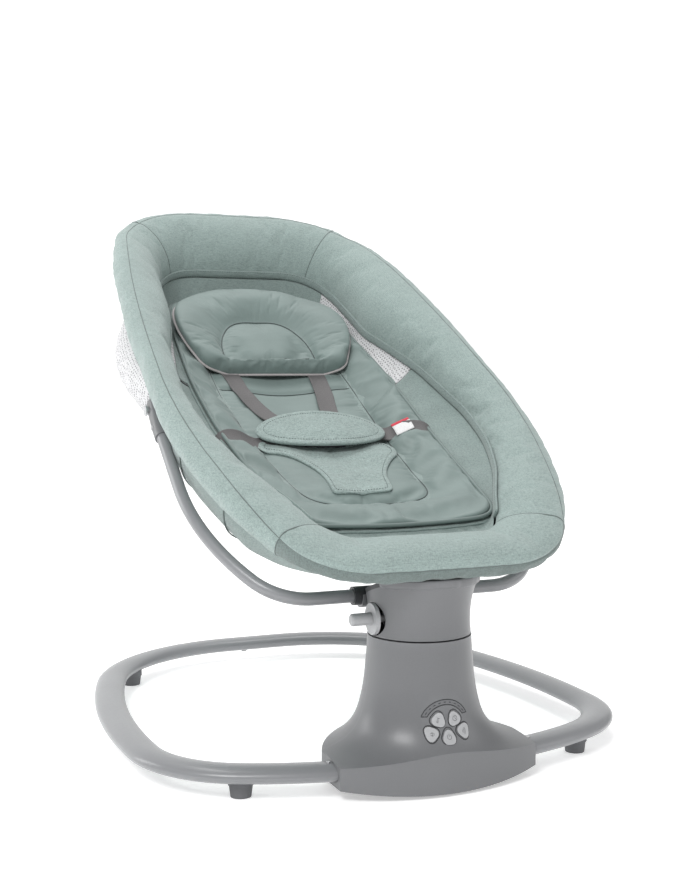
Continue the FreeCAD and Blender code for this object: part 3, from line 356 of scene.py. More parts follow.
# ---- materials ------------------------------------------------------------------------------------
class Nodes:
    """Short calls for building one material's nodes."""

    def __init__(self, name, roughness, metallic=0.0):
        self.material = bpy.data.materials.new(name)
        self.material.use_nodes = True
        self.tree = self.material.node_tree
        self.shader = self.tree.nodes["Principled BSDF"]
        self.shader.inputs["Roughness"].default_value = roughness
        self.shader.inputs["Metallic"].default_value = metallic
        place = self.node("ShaderNodeTexCoord")
        self.place = place.outputs["Object"]

    def node(self, kind, sockets=(), vector=None, **values):
        made = self.tree.nodes.new(kind)
        for key, value in values.items():
            setattr(made, key, value)
        for socket, value in dict(sockets).items():
            made.inputs[socket].default_value = value
        if vector is not None:
            self.link(vector, made.inputs["Vector"])
        return made

    def link(self, a, b):
        self.tree.links.new(a, b)

    def mapped(self, scale, rotation=(0.0, 0.0, 0.0)):
        made = self.node("ShaderNodeMapping", {"Scale": scale, "Rotation": rotation}, self.place)
        return made.outputs["Vector"]

    def noise(self, vector, scale, detail=2.0):
        sockets = {"Scale": scale, "Detail": detail, "Roughness": 0.55}
        return self.node("ShaderNodeTexNoise", sockets, vector).outputs["Fac"]

    def wave(self, vector, scale, direction, distortion=0.6):
        sockets = {"Scale": scale, "Distortion": distortion, "Detail": 1.0}
        return self.node("ShaderNodeTexWave", sockets, vector, wave_type="BANDS",
                         bands_direction=direction).outputs["Fac"]

    def math(self, operation, a, b):
        made = self.node("ShaderNodeMath", operation=operation)
        for socket, value in zip(made.inputs, (a, b)):
            if isinstance(value, (int, float)):
                socket.default_value = value
            else:
                self.link(value, socket)
        return made.outputs[0]

    def blend(self, a, share_a, b, share_b):
        """a and b added up, each times its share."""
        return self.math("ADD", self.math("MULTIPLY", a, share_a), self.math("MULTIPLY", b, share_b))

    def ramp(self, factor, stops):
        made = self.node("ShaderNodeValToRGB")
        elements = made.color_ramp.elements
        while len(elements) < len(stops):
            elements.new(0.5)
        for element, (position, colour) in zip(elements, stops):
            element.position = position
            element.color = (*colour, 1.0)
        self.link(factor, made.inputs["Fac"])
        return made.outputs["Color"]

    def mix(self, factor, a, b):
        made = self.node("ShaderNodeMix", data_type="RGBA")
        self.link(factor, made.inputs[0])
        colour_a, colour_b, colour_out = made.inputs[6], made.inputs[7], made.outputs[2]
        for socket, value in ((colour_a, a), (colour_b, b)):
            if isinstance(value, tuple):
                socket.default_value = (*value, 1.0)
            else:
                self.link(value, socket)
        return colour_out

    def colour(self, output):
        self.link(output, self.shader.inputs["Base Color"])

    def rough(self, factor, low, high):
        made = self.node("ShaderNodeMapRange", {"To Min": low, "To Max": high})
        self.link(factor, made.inputs["Value"])
        self.link(made.outputs["Result"], self.shader.inputs["Roughness"])

    def bump(self, height, strength, distance):
        made = self.node("ShaderNodeBump", {"Strength": strength, "Distance": distance})
        self.link(height, made.inputs["Height"])
        self.link(made.outputs["Normal"], self.shader.inputs["Normal"])


def tone(colour, factor):
    return tuple(c * factor for c in colour)


IN_SEAT = (-slope, 0, 0)   # turns a texture into the seat's plane
WEAVE = 260


def heather(name, colour, contrast=0.26):
    """Melange upholstery: short lighter and darker threads both ways over a plain weave."""
    n = Nodes(name, 0.85)
    n.shader.inputs["Sheen Weight"].default_value = 0.25
    n.shader.inputs["Sheen Roughness"].default_value = 0.5
    flat = n.mapped((1, 1, 1), IN_SEAT)
    weft = n.noise(n.mapped((0.2, 1.0, 1.0), IN_SEAT), 1050)
    warp = n.noise(n.mapped((1.0, 0.2, 0.5), IN_SEAT), 1050)
    threads = n.math("MULTIPLY", n.math("ADD", weft, warp), 0.5)
    mixed = n.blend(threads, 0.9, n.noise(flat, 26), 0.1)
    n.colour(n.ramp(mixed, [(0.36, tone(colour, 1 - contrast)), (0.5, colour),
                            (0.64, tone(colour, 1 + contrast * 0.8))]))
    across, along, up = (n.wave(flat, WEAVE, direction) for direction in "XYZ")
    raised = n.math("ADD", up, n.math("MULTIPLY", threads, 2.0))
    cloth = n.math("ADD", n.math("ADD", across, along), raised)
    n.rough(threads, 0.72, 0.95)
    n.bump(cloth, 0.35, 0.35 * MM)
    return n.material


def leatherette(name, colour):
    """Smooth brushed fabric of the cushion: very fine grain, faint creases."""
    n = Nodes(name, 0.62)
    n.shader.inputs["Sheen Weight"].default_value = 0.15
    fine = n.noise(n.place, 900)
    crease = n.noise(n.mapped((0.35, 1.0, 1.0), IN_SEAT), 55, 4.0)
    mixed = n.blend(crease, 0.5, n.noise(n.place, 14), 0.5)
    n.colour(n.ramp(mixed, [(0.3, tone(colour, 0.88)), (0.5, colour), (0.72, tone(colour, 1.1))]))
    n.rough(fine, 0.52, 0.7)
    n.bump(n.math("ADD", n.math("MULTIPLY", fine, 0.25), crease), 0.25, 1.2 * MM)
    return n.material


def ribbed_webbing(name, colour, direction):
    """Woven strap: ribs across its length and a fine thread."""
    n = Nodes(name, 0.7)
    ribs = n.wave(n.mapped((1, 1, 1), IN_SEAT), 330, direction, 0.3)
    thread = n.noise(n.place, 1100)
    mixed = n.blend(ribs, 0.5, thread, 0.5)
    n.colour(n.ramp(mixed, [(0.25, tone(colour, 0.72)), (0.5, colour), (0.8, tone(colour, 1.28))]))
    n.bump(n.math("ADD", ribs, n.math("MULTIPLY", thread, 0.4)), 0.5, 0.5 * MM)
    return n.material


def airy_mesh(name, colour, gap):
    """Spacer mesh: rows of small round holes, each row shifted by half a hole; the holes are painted
    dark, as painted shade seen through them.
    """
    n = Nodes(name, 0.75)
    turned = n.mapped((1, 1, 1), (-slope, 0, 0.6))
    holes = n.node("ShaderNodeTexVoronoi", {"Scale": 300, "Randomness": 0.25}, turned, feature="F1")
    distance = holes.outputs["Distance"]
    # painted shade: the holes take the dark colour gap, which stands in for the shade seen through them
    hole_shade_mask = n.ramp(distance, [(0.26, (1, 1, 1)), (0.4, (0, 0, 0))])
    body = n.ramp(n.noise(turned, 700), [(0.3, tone(colour, 0.9)), (0.7, colour)])
    n.colour(n.mix(hole_shade_mask, body, gap))
    n.bump(distance, 0.5, 0.8 * MM)
    return n.material


def moulded(name, colour, roughness=0.42, speckle=0.05, fine=650):
    """Moulded plastic: faint texture, slow tone drift, and a painted highlight that makes convex edges
    a little lighter.
    """
    n = Nodes(name, roughness)
    grain = n.noise(n.place, fine)
    mixed = n.blend(grain, 0.35, n.noise(n.place, 9), 0.65)
    body = n.ramp(mixed, [(0.3, tone(colour, 1 - speckle)), (0.7, tone(colour, 1 + speckle))])
    # painted highlight: convex edges, found by pointiness, are painted a little lighter, as where they
    # catch the light
    edge = n.node("ShaderNodeNewGeometry").outputs["Pointiness"]
    edge_highlight_mask = n.ramp(edge, [(0.52, (0, 0, 0)), (0.62, (1, 1, 1))])
    edge_highlight_share = n.math("MULTIPLY", edge_highlight_mask, 0.25)
    n.colour(n.mix(edge_highlight_share, body, tone(colour, 1.5)))
    n.rough(grain, roughness - 0.05, roughness + 0.07)
    n.bump(grain, 0.08, 0.15 * MM)
    return n.material


def powder_coat(name, colour):
    """Satin powder coat on tube: fine orange peel and a soft clear gloss."""
    n = Nodes(name, 0.34)
    n.shader.inputs["Coat Weight"].default_value = 0.25
    n.shader.inputs["Coat Roughness"].default_value = 0.2
    peel = n.noise(n.place, 420)
    n.colour(n.ramp(n.noise(n.place, 7), [(0.3, tone(colour, 0.95)), (0.7, tone(colour, 1.05))]))
    n.rough(peel, 0.28, 0.4)
    n.bump(peel, 0.06, 0.2 * MM)
    return n.material


def bare_metal(name, colour, roughness=0.35):
    """Plated or cast metal with fine drawn scratches."""
    n = Nodes(name, roughness, 1.0)
    scratch = n.noise(n.mapped((1.0, 1.0, 14.0)), 160, 3.0)
    n.colour(n.ramp(scratch, [(0.3, tone(colour, 0.85)), (0.7, colour)]))
    n.rough(scratch, roughness - 0.08, roughness + 0.12)
    n.bump(scratch, 0.1, 0.1 * MM)
    return n.material


SAGE = (0.285, 0.36, 0.343)
DEEP_SAGE = (0.182, 0.238, 0.226)
GREY = (0.235, 0.24, 0.25)
WEBBING_GREY = (0.152, 0.146, 0.147)

rim_fabric = heather("rim_heather", SAGE)
panel_fabric = heather("panel_heather", tone(SAGE, 0.84))
under_fabric = heather("under_heather", tone(SAGE, 0.55))
pad_fabric = heather("pad_heather", tone(SAGE, 0.98), 0.4)
cushion_fabric = leatherette("cushion_cloth", DEEP_SAGE)
piping_fabric = leatherette("piping_cloth", tone(DEEP_SAGE, 0.85))
edge_ribbon = leatherette("edge_ribbon", (0.45, 0.42, 0.42))
strap_fabric = ribbed_webbing("strap_webbing", WEBBING_GREY, "Y")
belt_fabric = ribbed_webbing("belt_webbing", WEBBING_GREY, "X")
# the second colour is the painted shade of the mesh's holes
window_mesh = airy_mesh("window_mesh", (0.7, 0.7, 0.71), (0.2, 0.2, 0.21))
sage_thread = leatherette("sage_thread", tone(SAGE, 0.42))
dark_thread = leatherette("dark_thread", (0.05, 0.07, 0.068))
tag_cloth = heather("tag_cloth", (0.8, 0.8, 0.8), 0.08)
tag_stripe = heather("tag_stripe", (0.62, 0.03, 0.06), 0.08)

icon_ink = moulded("icon_print", (0.16, 0.162, 0.168), 0.5)
gap_ink = moulded("gap_shadow", (0.03, 0.031, 0.033), 0.6)
mark_ink = moulded("mark_print", (0.035, 0.036, 0.04), 0.5)

FINISHES = {
    "grey_tube": powder_coat("tube_powder_coat", GREY),
    "grey_plastic": moulded("housing_plastic", tone(GREY, 0.68), 0.34),
    "dark_plastic": moulded("dark_plastic", (0.045, 0.047, 0.05), 0.45),
    "light_plastic": moulded("light_plastic", (0.4, 0.405, 0.415), 0.4),
    "window_plastic": moulded("window_plastic", (0.15, 0.153, 0.16), 0.25, 0.02, 300),
    "rubber": moulded("foot_rubber", (0.13, 0.133, 0.14), 0.75, 0.08),
    "steel": bare_metal("zinc_steel", (0.62, 0.63, 0.64)),
    "casting": bare_metal("cast_metal", (0.5, 0.51, 0.52), 0.5),
    "board": moulded("circuit_board", (0.02, 0.12, 0.05), 0.35, 0.15),
    "motor_steel": bare_metal("motor_steel", (0.45, 0.46, 0.47)),
    "gear_plastic": moulded("gear_plastic", (0.62, 0.6, 0.54), 0.5),
}


def finish_cad_nodes():
    """Gives every CAD node that stays visible the finish of its material slot."""
    for part in frame["record"]["subparts"]:
        material = FINISHES.get(part["material_slot"])
        if material is None:
            continue
        data = frame["nodes"][part["node"]].data
        data.materials.clear()
        data.materials.append(material)


def follow(obj, body="seat"):
    """Gives a piece its body."""
    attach(obj, body)


def soft(obj, slot_name, fill, *nodes):
    """Attaches a padded piece to the seat and hides the CAD nodes that it stands for; slot_name and
    fill are not used.
    """
    follow(obj)
    if nodes:
        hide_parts(*nodes)


# ---- rim cover ------------------------------------------------------------------------------------
RIM_PLACES = 440
RIM_RING = 48
SEAM_ROW = 17
BINDING_ROW = 38
SEWN_BELOW = 3                 # rows of the underside held to the tube
CORNER_SEAMS = (51.0, 784.0)   # along the seat: foot corners and head corners
BULGE_UP = 4.0                 # height of the section's widest place above the tube's middle
CREST_GROOVE = 1.1
CORNER_GROOVE = 0.7


def rim_section(t, tau):
    """Outward and upward place, in mm, on the rim's section. tau runs 0 to 4: from the underside to the
    outer bulge, the crest, the binding and back."""
    s = rim_at(t)[1]
    inward = rows_at(BANK_ROWS, 1, s)
    deep = rows_at(BANK_ROWS, 2, s)
    top, out, low = (rows_at(RIM_ROWS, column, s) for column in (1, 2, 3))
    quarter = (tau % 1.0) * math.pi / 2
    lower_out = out * np.sin(quarter) ** 0.85
    lower_up = BULGE_UP - (BULGE_UP + low) * np.cos(quarter) ** 0.85
    upper_out = out * np.cos(quarter) ** 0.9
    upper_up = BULGE_UP + (top - BULGE_UP) * np.sin(quarter) ** 0.9
    bank_out = -inward * np.sin(quarter) ** 1.05
    bank_up = top - (top + deep) * (1 - np.cos(quarter)) ** 0.95
    back = tau % 1.0
    back_out = -inward * (1 - back) ** 1.3
    back_up = -deep + (deep - low) * back ** 0.7 - 3.0 * np.sin(math.pi * back)
    span = np.floor(np.minimum(tau, 3.9999)).astype(int)
    outward = np.choose(span, [lower_out, upper_out, bank_out, back_out])
    upward = np.choose(span, [lower_up, upper_up, bank_up, back_up])
    return outward, upward


def rim_tau(t):
    """The section places of the mesh's rings: the seam and the binding always lie on a ring."""
    seam = rows_at(BANK_ROWS, 3, rim_at(t)[1])
    ring = np.arange(RIM_RING, dtype=float)
    tau = np.empty((len(t), RIM_RING))
    for i, place in enumerate(seam):
        tau[i] = np.interp(ring, (0, SEAM_ROW, BINDING_ROW, RIM_RING), (0.0, place, 3.0, 4.0))
    return tau


def rim_points(t, tau):
    x, s, nx, ns = (values[:, None] for values in rim_at(t))
    outward, upward = rim_section(t[:, None] * np.ones_like(tau), tau)
    return seat(x + nx * outward, s + ns * outward, -upward)


def corner_places():
    right = [float(rim_place(s)) for s in CORNER_SEAMS]
    return right + [2.0 - place for place in right]


def rim_cover():
    """The padded cover of the whole rim. Returns its points as rings, and the rings' places."""
    t = np.arange(RIM_PLACES) * 2.0 / RIM_PLACES
    for place in corner_places():
        t[np.argmin(np.abs(t - place))] = place
    tau = rim_tau(t)
    points = rim_points(t, tau).reshape(-1, 3)
    faces = grid_faces(RIM_PLACES, RIM_RING, True, True)
    cover = tidy_mesh(mesh_object("rim_cover", points, faces, rim_fabric))
    ring = np.tile(np.arange(RIM_RING), RIM_PLACES)
    place = np.repeat(t, RIM_RING)
    foot = float(rim_place(CORNER_SEAMS[0])) + 1e-6
    foot_panel = (ring <= SEAM_ROW) & ((place <= foot) | (place >= 2.0 - foot))
    cover.data.materials.append(under_fabric)
    for polygon in cover.data.polygons:
        if foot_panel[list(polygon.vertices)].all():
            polygon.material_index = 1
    corner = (np.abs(place[:, None] - corner_places()) < 1e-9).any(1)
    sewn = (ring == SEAM_ROW) | (ring >= BINDING_ROW) | (ring < SEWN_BELOW) | corner
    blow(cover, sewn, pressure=4.0, slack=0.012, cap=2.2 * MM)
    normal = normals_of(cover)
    moved = get_points(cover)
    groove = np.where(ring == SEAM_ROW, CREST_GROOVE, 0.0) + np.where(corner, CORNER_GROOVE, 0.0)
    lump = soft_noise(moved, 0.06, 0.5) + soft_noise(moved, 0.018, 0.22, 2.0)
    lump[ring >= BINDING_ROW] = 0.0
    lump[ring == SEAM_ROW] *= 0.3
    set_points(cover, moved + normal * ((lump - groove) * MM)[:, None])
    subdivide(cover)
    soft(cover, "rim_fabric", 0.7, "rim_pad_foot", "rim_pad_head", "rim_pad_left", "rim_pad_right")
    return get_points(cover).reshape(RIM_PLACES, RIM_RING, 3), t


BINDING_FROM = 70.0            # along the seat; the foot has none


def thread_line(name, path, radius, material=None, closed=False):
    """A sewn line as a thin raised thread; radius in mm."""
    follow(tube(name, path, radius * MM, material or sage_thread, closed=closed, sides=6))


def binding_path(t, drop=0.0, out=0.0):
    """The binding's line at places t, lowered by drop and moved outwards by out."""
    x, s, nx, ns = rim_at(t)
    inward = rows_at(BANK_ROWS, 1, s) - out
    deep = rows_at(BANK_ROWS, 2, s) + drop
    return seat(x - nx * inward, s - ns * inward, deep)


def rim_trim(rings, t):
    """Crest seam, corner seams, and the doubled binding along the inner bank."""
    crest = rings[:, SEAM_ROW]
    thread_line("crest_seam", np.vstack([crest, crest[:1]]), 0.7)
    for number, place in enumerate(corner_places()):
        index = int(np.argmin(np.abs(t - place)))
        thread_line(f"corner_seam_{number + 1}", rings[index, 4:BINDING_ROW + 1], 0.95)
    start = float(rim_place(BINDING_FROM))
    around = np.linspace(start, 2.0 - start, 420)
    follow(binding_band(around))
    rows = [binding_path(around, drop=-8.6, out=-2.2), binding_path(around, drop=0.2, out=-2.4)]
    follow(stitches("binding_stitches", rows, sage_thread, 3.6 * MM, 0.38 * MM))


def binding_band(around):
    """The flat doubled strip sewn along the foot of the bank."""
    section = ((-1.4, -10.5), (-2.4, -9.0), (-2.9, -5.0), (-2.9, -1.5), (-1.6, 2.0), (1.5, 2.0),
               (1.5, -10.5))
    points = np.stack([binding_path(around, drop, out) for out, drop in section], 1)
    wobble = soft_noise(points[:, 3], 0.02, 0.5 * MM, 5.0)
    points[:, :5] += (-DOWN * wobble[:, None])[:, None, :]
    return subdivide(ringed("binding", points, panel_fabric))


# ---- hammock --------------------------------------------------------------------------------------
SPINE_FOOT = 150.0
SPINE_HEAD = 640.0
EDGE_DEPTH = 4.0
OUTER_INSET = 2.5              # of the outer skin, from the rim's tube
HUB_CLEAR = 195.2              # half width that leaves room for the hubs
HUB_SPAN = (296, 440)          # along the seat
HUB_FADE = 22
HUB_TOP = 30                   # depth below which the skin is pulled in
LINER_PLACES, LINER_ROWS = 320, 34
SEAM_THETA = 0.62
DARTS = (150, 262, 480, 700)   # along the seat


def hammock(t, theta, inset, extra):
    """Points of the hammock: t round the rim, theta 0 at the rim to 1 at the spine, inset from the
    rim's tube and extra depth."""
    x, s, nx, ns = rim_at(t)
    edge_x = x - nx * inset
    edge_s = s - ns * inset
    spine = SPINE_FOOT + (edge_s - 20) * (SPINE_HEAD - SPINE_FOOT) / (RIM_S - 40)
    spine = np.clip(spine, SPINE_FOOT, SPINE_HEAD)
    deep = rows_at(HAMMOCK_ROWS, 1, spine) + extra
    to_head = np.clip((s - 700) / 110, 0, 1)
    to_foot = np.clip((120 - s) / 100, 0, 1)
    power = 2 / (3.1 - 1.4 * to_head - 1.5 * to_foot)
    angle = theta * math.pi / 2
    reach = np.cos(angle) ** power
    depth = EDGE_DEPTH + (deep - EDGE_DEPTH) * np.sin(angle) ** power
    return edge_x * reach, spine + (edge_s - spine) * reach, depth


def hub_tuck(x, s, d):
    """Pulls the outer skin in where the hub and its arm pass, by up to a centimetre."""
    near = np.clip((s - HUB_SPAN[0]) / HUB_FADE, 0, 1) * np.clip((HUB_SPAN[1] - s) / HUB_FADE, 0, 1)
    below = np.clip((d - HUB_TOP) / 8, 0, 1)
    excess = np.maximum(np.abs(x) - HUB_CLEAR, 0)
    return x - np.sign(x) * excess * near * below


def seat_liner():
    """The hammock as one closed skin, with an inner and an outer face."""
    t = np.arange(LINER_PLACES) * 2.0 / LINER_PLACES
    theta = np.linspace(0, 1, LINER_ROWS) ** 1.15
    tt, th = np.meshgrid(t, theta, indexing="ij")
    inner = seat(*hammock(tt, th, 19.0, -3.0))
    x, s, d = hammock(tt, th, OUTER_INSET, 3.0)
    outer = seat(hub_tuck(x, s, d), s, np.where(th < 1e-6, 8.0, d))
    points = np.concatenate([inner, outer[:, ::-1]], 1).reshape(-1, 3)
    faces = grid_faces(LINER_PLACES, 2 * LINER_ROWS, True, True)
    liner = tidy_mesh(mesh_object("liner", points, faces, panel_fabric), 0.05 * MM)
    flat = get_points(liner)
    normal = normals_of(liner)
    wave = soft_noise(flat * np.array((0.45, 1, 1)), 0.03, 1.3, 3.0) + soft_noise(flat, 0.09, 1.6, 4.0)
    set_points(liner, flat + normal * (wave * MM)[:, None] * 0.8)
    soft(subdivide(liner), "rim_fabric", 0.3, "seat_liner")


def hammock_seams():
    """Sewn lines on the hammock's outside: one on each side of the spine, and darts to the rim."""
    rows = []
    for side in (1, -1):
        t = np.linspace(rim_place(60, side), rim_place(790, side), 160)
        x, s, d = hammock(t, np.full(160, SEAM_THETA), OUTER_INSET, 3.6)
        rows.append(seat(hub_tuck(x, s, d), s, d + 0.6))
    for place in DARTS:
        for side in (1, -1):
            theta = np.linspace(0.06, SEAM_THETA, 40)
            x, s, d = hammock(np.full(40, rim_place(place, side)), theta, OUTER_INSET, 3.6)
            rows.append(seat(x * 1.002, s, d + 0.4))
    for number, row in enumerate(rows):
        thread_line(f"liner_seam_{number + 1}", row, 0.9)


OUTER_MESH = (404.0, 612.0)    # along the seat
INNER_MESH = (470.0, 716.0)
HEM_FROM_ROW = {"right": 8, "left": 5}   # of the inner wall's 12 rows


def border_of(grid):
    """The entries along a grid's four sides, in order."""
    return np.concatenate([grid[:, 0], grid[-1, 1:], grid[-2::-1, -1], grid[0, -2:0:-1]])


def shell_of(name, face, depth_shift, material):
    """A thin closed panel from a grid of points; its back lies depth_shift from its face."""
    rows, columns = face.shape[:2]
    count = rows * columns
    points = np.concatenate([face.reshape(-1, 3), (face + depth_shift).reshape(-1, 3)])
    faces = grid_faces(rows, columns, False, False)
    faces += [f[::-1] for f in grid_faces(rows, columns, False, False, count)]
    number = np.arange(count).reshape(rows, columns)
    loop = [int(i) for i in border_of(number)]
    for a, b in zip(loop, loop[1:] + loop[:1]):
        faces.append((b, a, count + a, count + b))
    return tidy_mesh(mesh_object(name, points, faces, material))


def outer_mesh(name, side):
    """Airy window that bellies out below the rim's side, with a cloth edging."""
    columns, rows = 56, 24
    u = np.linspace(0, 1, columns)[:, None]
    v = np.linspace(0, 1, rows)[None, :]
    s = OUTER_MESH[0] + (OUTER_MESH[1] - OUTER_MESH[0]) * u + 0 * v
    x, s, d = hammock(rim_place(s, 1), 0.04 + 0.42 * v * (1.0 - 0.25 * u), OUTER_INSET, 3.0)
    belly = np.sin(math.pi * u) ** 0.7 * np.sin(math.pi * v ** 0.75) ** 0.8
    pleat = 0.7 * np.sin(s * 0.25) * belly
    face = seat((x + 1.8 + 29.0 * belly + pleat) * side, s, d)
    window = shell_of(f"side_mesh_{name}", face, -ACROSS * side * 1.2 * MM, window_mesh)
    follow(window)
    edging = tube(f"mesh_edging_{name}", border_of(face), 3.0 * MM, panel_fabric, closed=True,
                  up=ACROSS, flat=0.6)
    follow(edging)


def inner_walls():
    """Cloth and mesh between the binding and the cushion's edge."""
    start = float(rim_place(INNER_MESH[0], -1)) - 2.0
    around = np.linspace(start, start + 2.0, 560)
    x, s, nx, ns = rim_at(around)
    inward = rows_at(BANK_ROWS, 1, s) + 1.0
    deep = (rows_at(BANK_ROWS, 2, s) + 1.0)[:, None]
    top = np.stack([x - nx * inward, s - ns * inward], 1)
    bottom = matched(top, cushion_outline(1.0))
    v = np.linspace(0, 1, 12)[None, :]
    plan = top[:, None, :] + (bottom - top)[:, None, :] * v[..., None]
    low = (rest_depth(*bottom.T) + 6.0)[:, None]
    bow = np.sin(math.pi * v)
    depth = deep + (low - deep) * v ** 0.8 + 3.0 * bow
    ripple = 0.9 * np.sin(around * 130.0)[:, None] * bow
    points = seat(plan[..., 0], plan[..., 1], depth + ripple)
    place = top[:, 1]
    right = (around > 0.0) & (around < 1.0)
    mesh_here = (place > INNER_MESH[0]) & (place < INNER_MESH[1])
    spans = {"foot": (around < 1.0) & (place <= INNER_MESH[0]), "mesh_right": right & mesh_here,
             "head": place >= INNER_MESH[1], "mesh_left": ~right & mesh_here}
    for name, chosen in spans.items():
        index = np.nonzero(chosen)[0]
        part = points[max(index[0] - 1, 0):index[-1] + 1]
        if not name.startswith("mesh"):
            wall = shell_of(f"inner_wall_{name}", part, DOWN * 1.5 * MM, panel_fabric)
            follow(subdivide(wall))
            continue
        side = name[5:]
        window = shell_of(f"inner_mesh_{side}", part, DOWN * 1.2 * MM, window_mesh)
        follow(window)
        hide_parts(f"mesh_window_{side}")
        low_edge = part[:, HEM_FROM_ROW[side]:] - DOWN * 1.6 * MM
        hem = shell_of(f"inner_hem_{side}", low_edge, DOWN * 1.4 * MM, panel_fabric)
        follow(subdivide(hem))


def mesh_windows():
    """The walls inside the rim with their mesh, and the mesh that shows from outside."""
    inner_walls()
    for name, side in (("right", 1), ("left", -1)):
        outer_mesh(name, side)


# ---- quilted pads ---------------------------------------------------------------------------------
def loop_of(corners, count):
    """A closed outline through corners (x, s, radius), each rounded off, as evenly spaced points."""
    radii = [corner[2] for corner in corners]
    corners = np.array(corners, float)[:, :2]
    points = []
    for index, corner in enumerate(corners):
        back = corners[index - 1] - corner
        ahead = corners[(index + 1) % len(corners)] - corner
        size = min(radii[index], np.linalg.norm(back) * 0.49, np.linalg.norm(ahead) * 0.49)
        start = corner + back / np.linalg.norm(back) * size
        end = corner + ahead / np.linalg.norm(ahead) * size
        for u in np.linspace(0, 1, 14):
            points.append((1 - u) ** 2 * start + 2 * u * (1 - u) * corner + u ** 2 * end)
    points = np.array(points + [points[0]])
    steps = np.concatenate([[0], np.cumsum(np.hypot(*np.diff(points, axis=0).T))])
    return read_path(points, steps, np.arange(count) * steps[-1] / count)


def mirrored(right):
    """Corners (x, s, radius) of a right side, with the left side's before and after them."""
    left = [(-x, s, radius) for x, s, radius in reversed(right)]
    return left[-1:] + list(right) + left[:-1]


CREASE_DEPTH = 3.6
CREASE_WIDTH = 4.5


def matched(outline, seam):
    """The seam's points reordered so that each faces the outline's point in the same direction."""
    centre = seam.mean(0)
    wanted = np.unwrap(np.arctan2(*(outline - centre).T[::-1]))
    given = np.unwrap(np.arctan2(*(seam - centre).T[::-1]))
    turn = 2 * math.pi * np.sign(given[-1] - given[0])
    many = np.concatenate([given - turn, given, given + turn])
    order = np.argsort(many)
    return read_path(np.concatenate([seam] * 3)[order], many[order], wanted)


def quilted(name, outline, seam, spine, depth_at, rises, thickness, material, cloth, rings,
            sinks=(0.0, 0.0), creases=()):
    """A padded piece of rings: its outline, one sewn line inside it, then the spine. rises are those
    between outline and line and at the spine; cloth is the simulation's pressure, slack and cap in mm;
    sinks lower the sewn line and the outline. Returns the object and the points of line and outline."""
    channel, middle = rises
    pressure, slack, cap = cloth
    seam_sink, edge_sink = sinks
    count = len(outline)
    inner = matched(outline, seam)
    spine_s = np.clip(inner[:, 1], spine[0], spine[1])
    centre = np.stack([np.zeros(count), spine_s], 1)
    tops, sewn, plans = [], [], []
    total = sum(rings)
    for ring in range(total + 1):
        if ring <= rings[0]:
            q = ring / rings[0]
            plan = outline + (inner - outline) * q
            rise = channel * (4 * q * (1 - q)) ** 0.55 - seam_sink * q - edge_sink * (1 - q)
        else:
            q = (ring - rings[0]) / rings[1]
            plan = inner + (centre - inner) * q
            rise = middle * (1 - (1 - q) ** 2.4) ** 0.8 - seam_sink * (1 - min(q * 3, 1))
        depth = depth_at(plan[:, 0], plan[:, 1]) - rise
        tops.append(seat(plan[:, 0], plan[:, 1], depth))
        sewn.append(np.full(count, ring in (0, rings[0])))
        plans.append(plan)
    bases = []
    for ring in range(1, total + 1):
        x, s = plans[ring].T
        bases.append(seat(x, s, depth_at(x, s) + thickness * (1 - 0.6 * (1 - ring / total) ** 3)))
    points = np.concatenate(tops + bases)
    faces = grid_faces(total + 1, count, False, True)
    base_start = (total + 1) * count
    for j in range(count):
        k = (j + 1) % count
        faces.append((j, base_start + j, base_start + k, k))
    faces += [f[::-1] for f in grid_faces(total, count, False, True, base_start)]
    pad = mesh_object(name, points, faces, material)
    pinned = np.concatenate(sewn + [np.ones(count, bool)] * total)
    marker = pad.data.attributes.new("pinned", "FLOAT", "POINT")
    marker.data.foreach_set("value", pinned.astype(np.float32))
    tidy_mesh(pad, 0.02 * MM)
    held = np.zeros(len(pad.data.vertices), np.float32)
    pad.data.attributes["pinned"].data.foreach_get("value", held)
    blow(pad, held > 0.5, pressure, slack, cap * MM)
    pad.data.attributes.remove(pad.data.attributes["pinned"])
    moved = get_points(pad)
    normal = normals_of(pad)
    lump = soft_noise(moved, 0.04, 0.7, 6.0) * (held < 0.5)
    along = (moved - SEAT_FOOT) @ ALONG / MM
    for crease_s, crease_half in creases:
        inside = np.clip((crease_half - np.abs(moved[:, 0]) / MM) / 4, 0, 1) * (normal @ DOWN < 0)
        lump = lump - CREASE_DEPTH * np.exp(-((along - crease_s) / CREASE_WIDTH) ** 2) * inside
    set_points(pad, moved + normal * (lump * MM)[:, None])
    subdivide(pad)
    return pad, tops[rings[0]], tops[0]


CROSS_SEAM = 488.0             # along the seat
CROSS_HALF = 92
SURFACE_STEP = 5.0
SURFACE_X = np.arange(-152.5, 152.6, SURFACE_STEP)   # misses the spine, where a ray can slip through
SURFACE_S = np.arange(90.0, 730.1, SURFACE_STEP)
RAY_START = 60.0               # above the rim's plane, or above a path's points
surface_depth = np.zeros((len(SURFACE_X), len(SURFACE_S)))


def learn_surface(pad):
    """Reads the depth of the finished cushion's top on a grid, so that what lies on it follows it."""
    graph = bpy.context.evaluated_depsgraph_get()
    tree = BVHTree.FromObject(pad, graph)
    down = Vector(DOWN)
    for i, x in enumerate(SURFACE_X):
        for j, s in enumerate(SURFACE_S):
            start = Vector(seat(x, s, -RAY_START))
            hit = tree.ray_cast(start, down)[0]
            if hit is None:
                surface_depth[i, j] = float(rest_depth(np.array(x), np.array(s)))
            else:
                surface_depth[i, j] = (hit - start).length / MM - RAY_START


def laid_on(pad, path, lift):
    """The path's points dropped onto a finished pad and raised by lift."""
    tree = BVHTree.FromObject(pad, bpy.context.evaluated_depsgraph_get())
    placed = []
    for point in path:
        hit = tree.ray_cast(Vector(point - DOWN * (RAY_START * MM)), Vector(DOWN))[0]
        placed.append(np.array(point if hit is None else hit) - DOWN * lift)
    placed = np.array(placed)
    for _ in range(2):
        placed[1:-1] = (placed[:-2] + placed[1:-1] * 2 + placed[2:]) / 4
    return placed


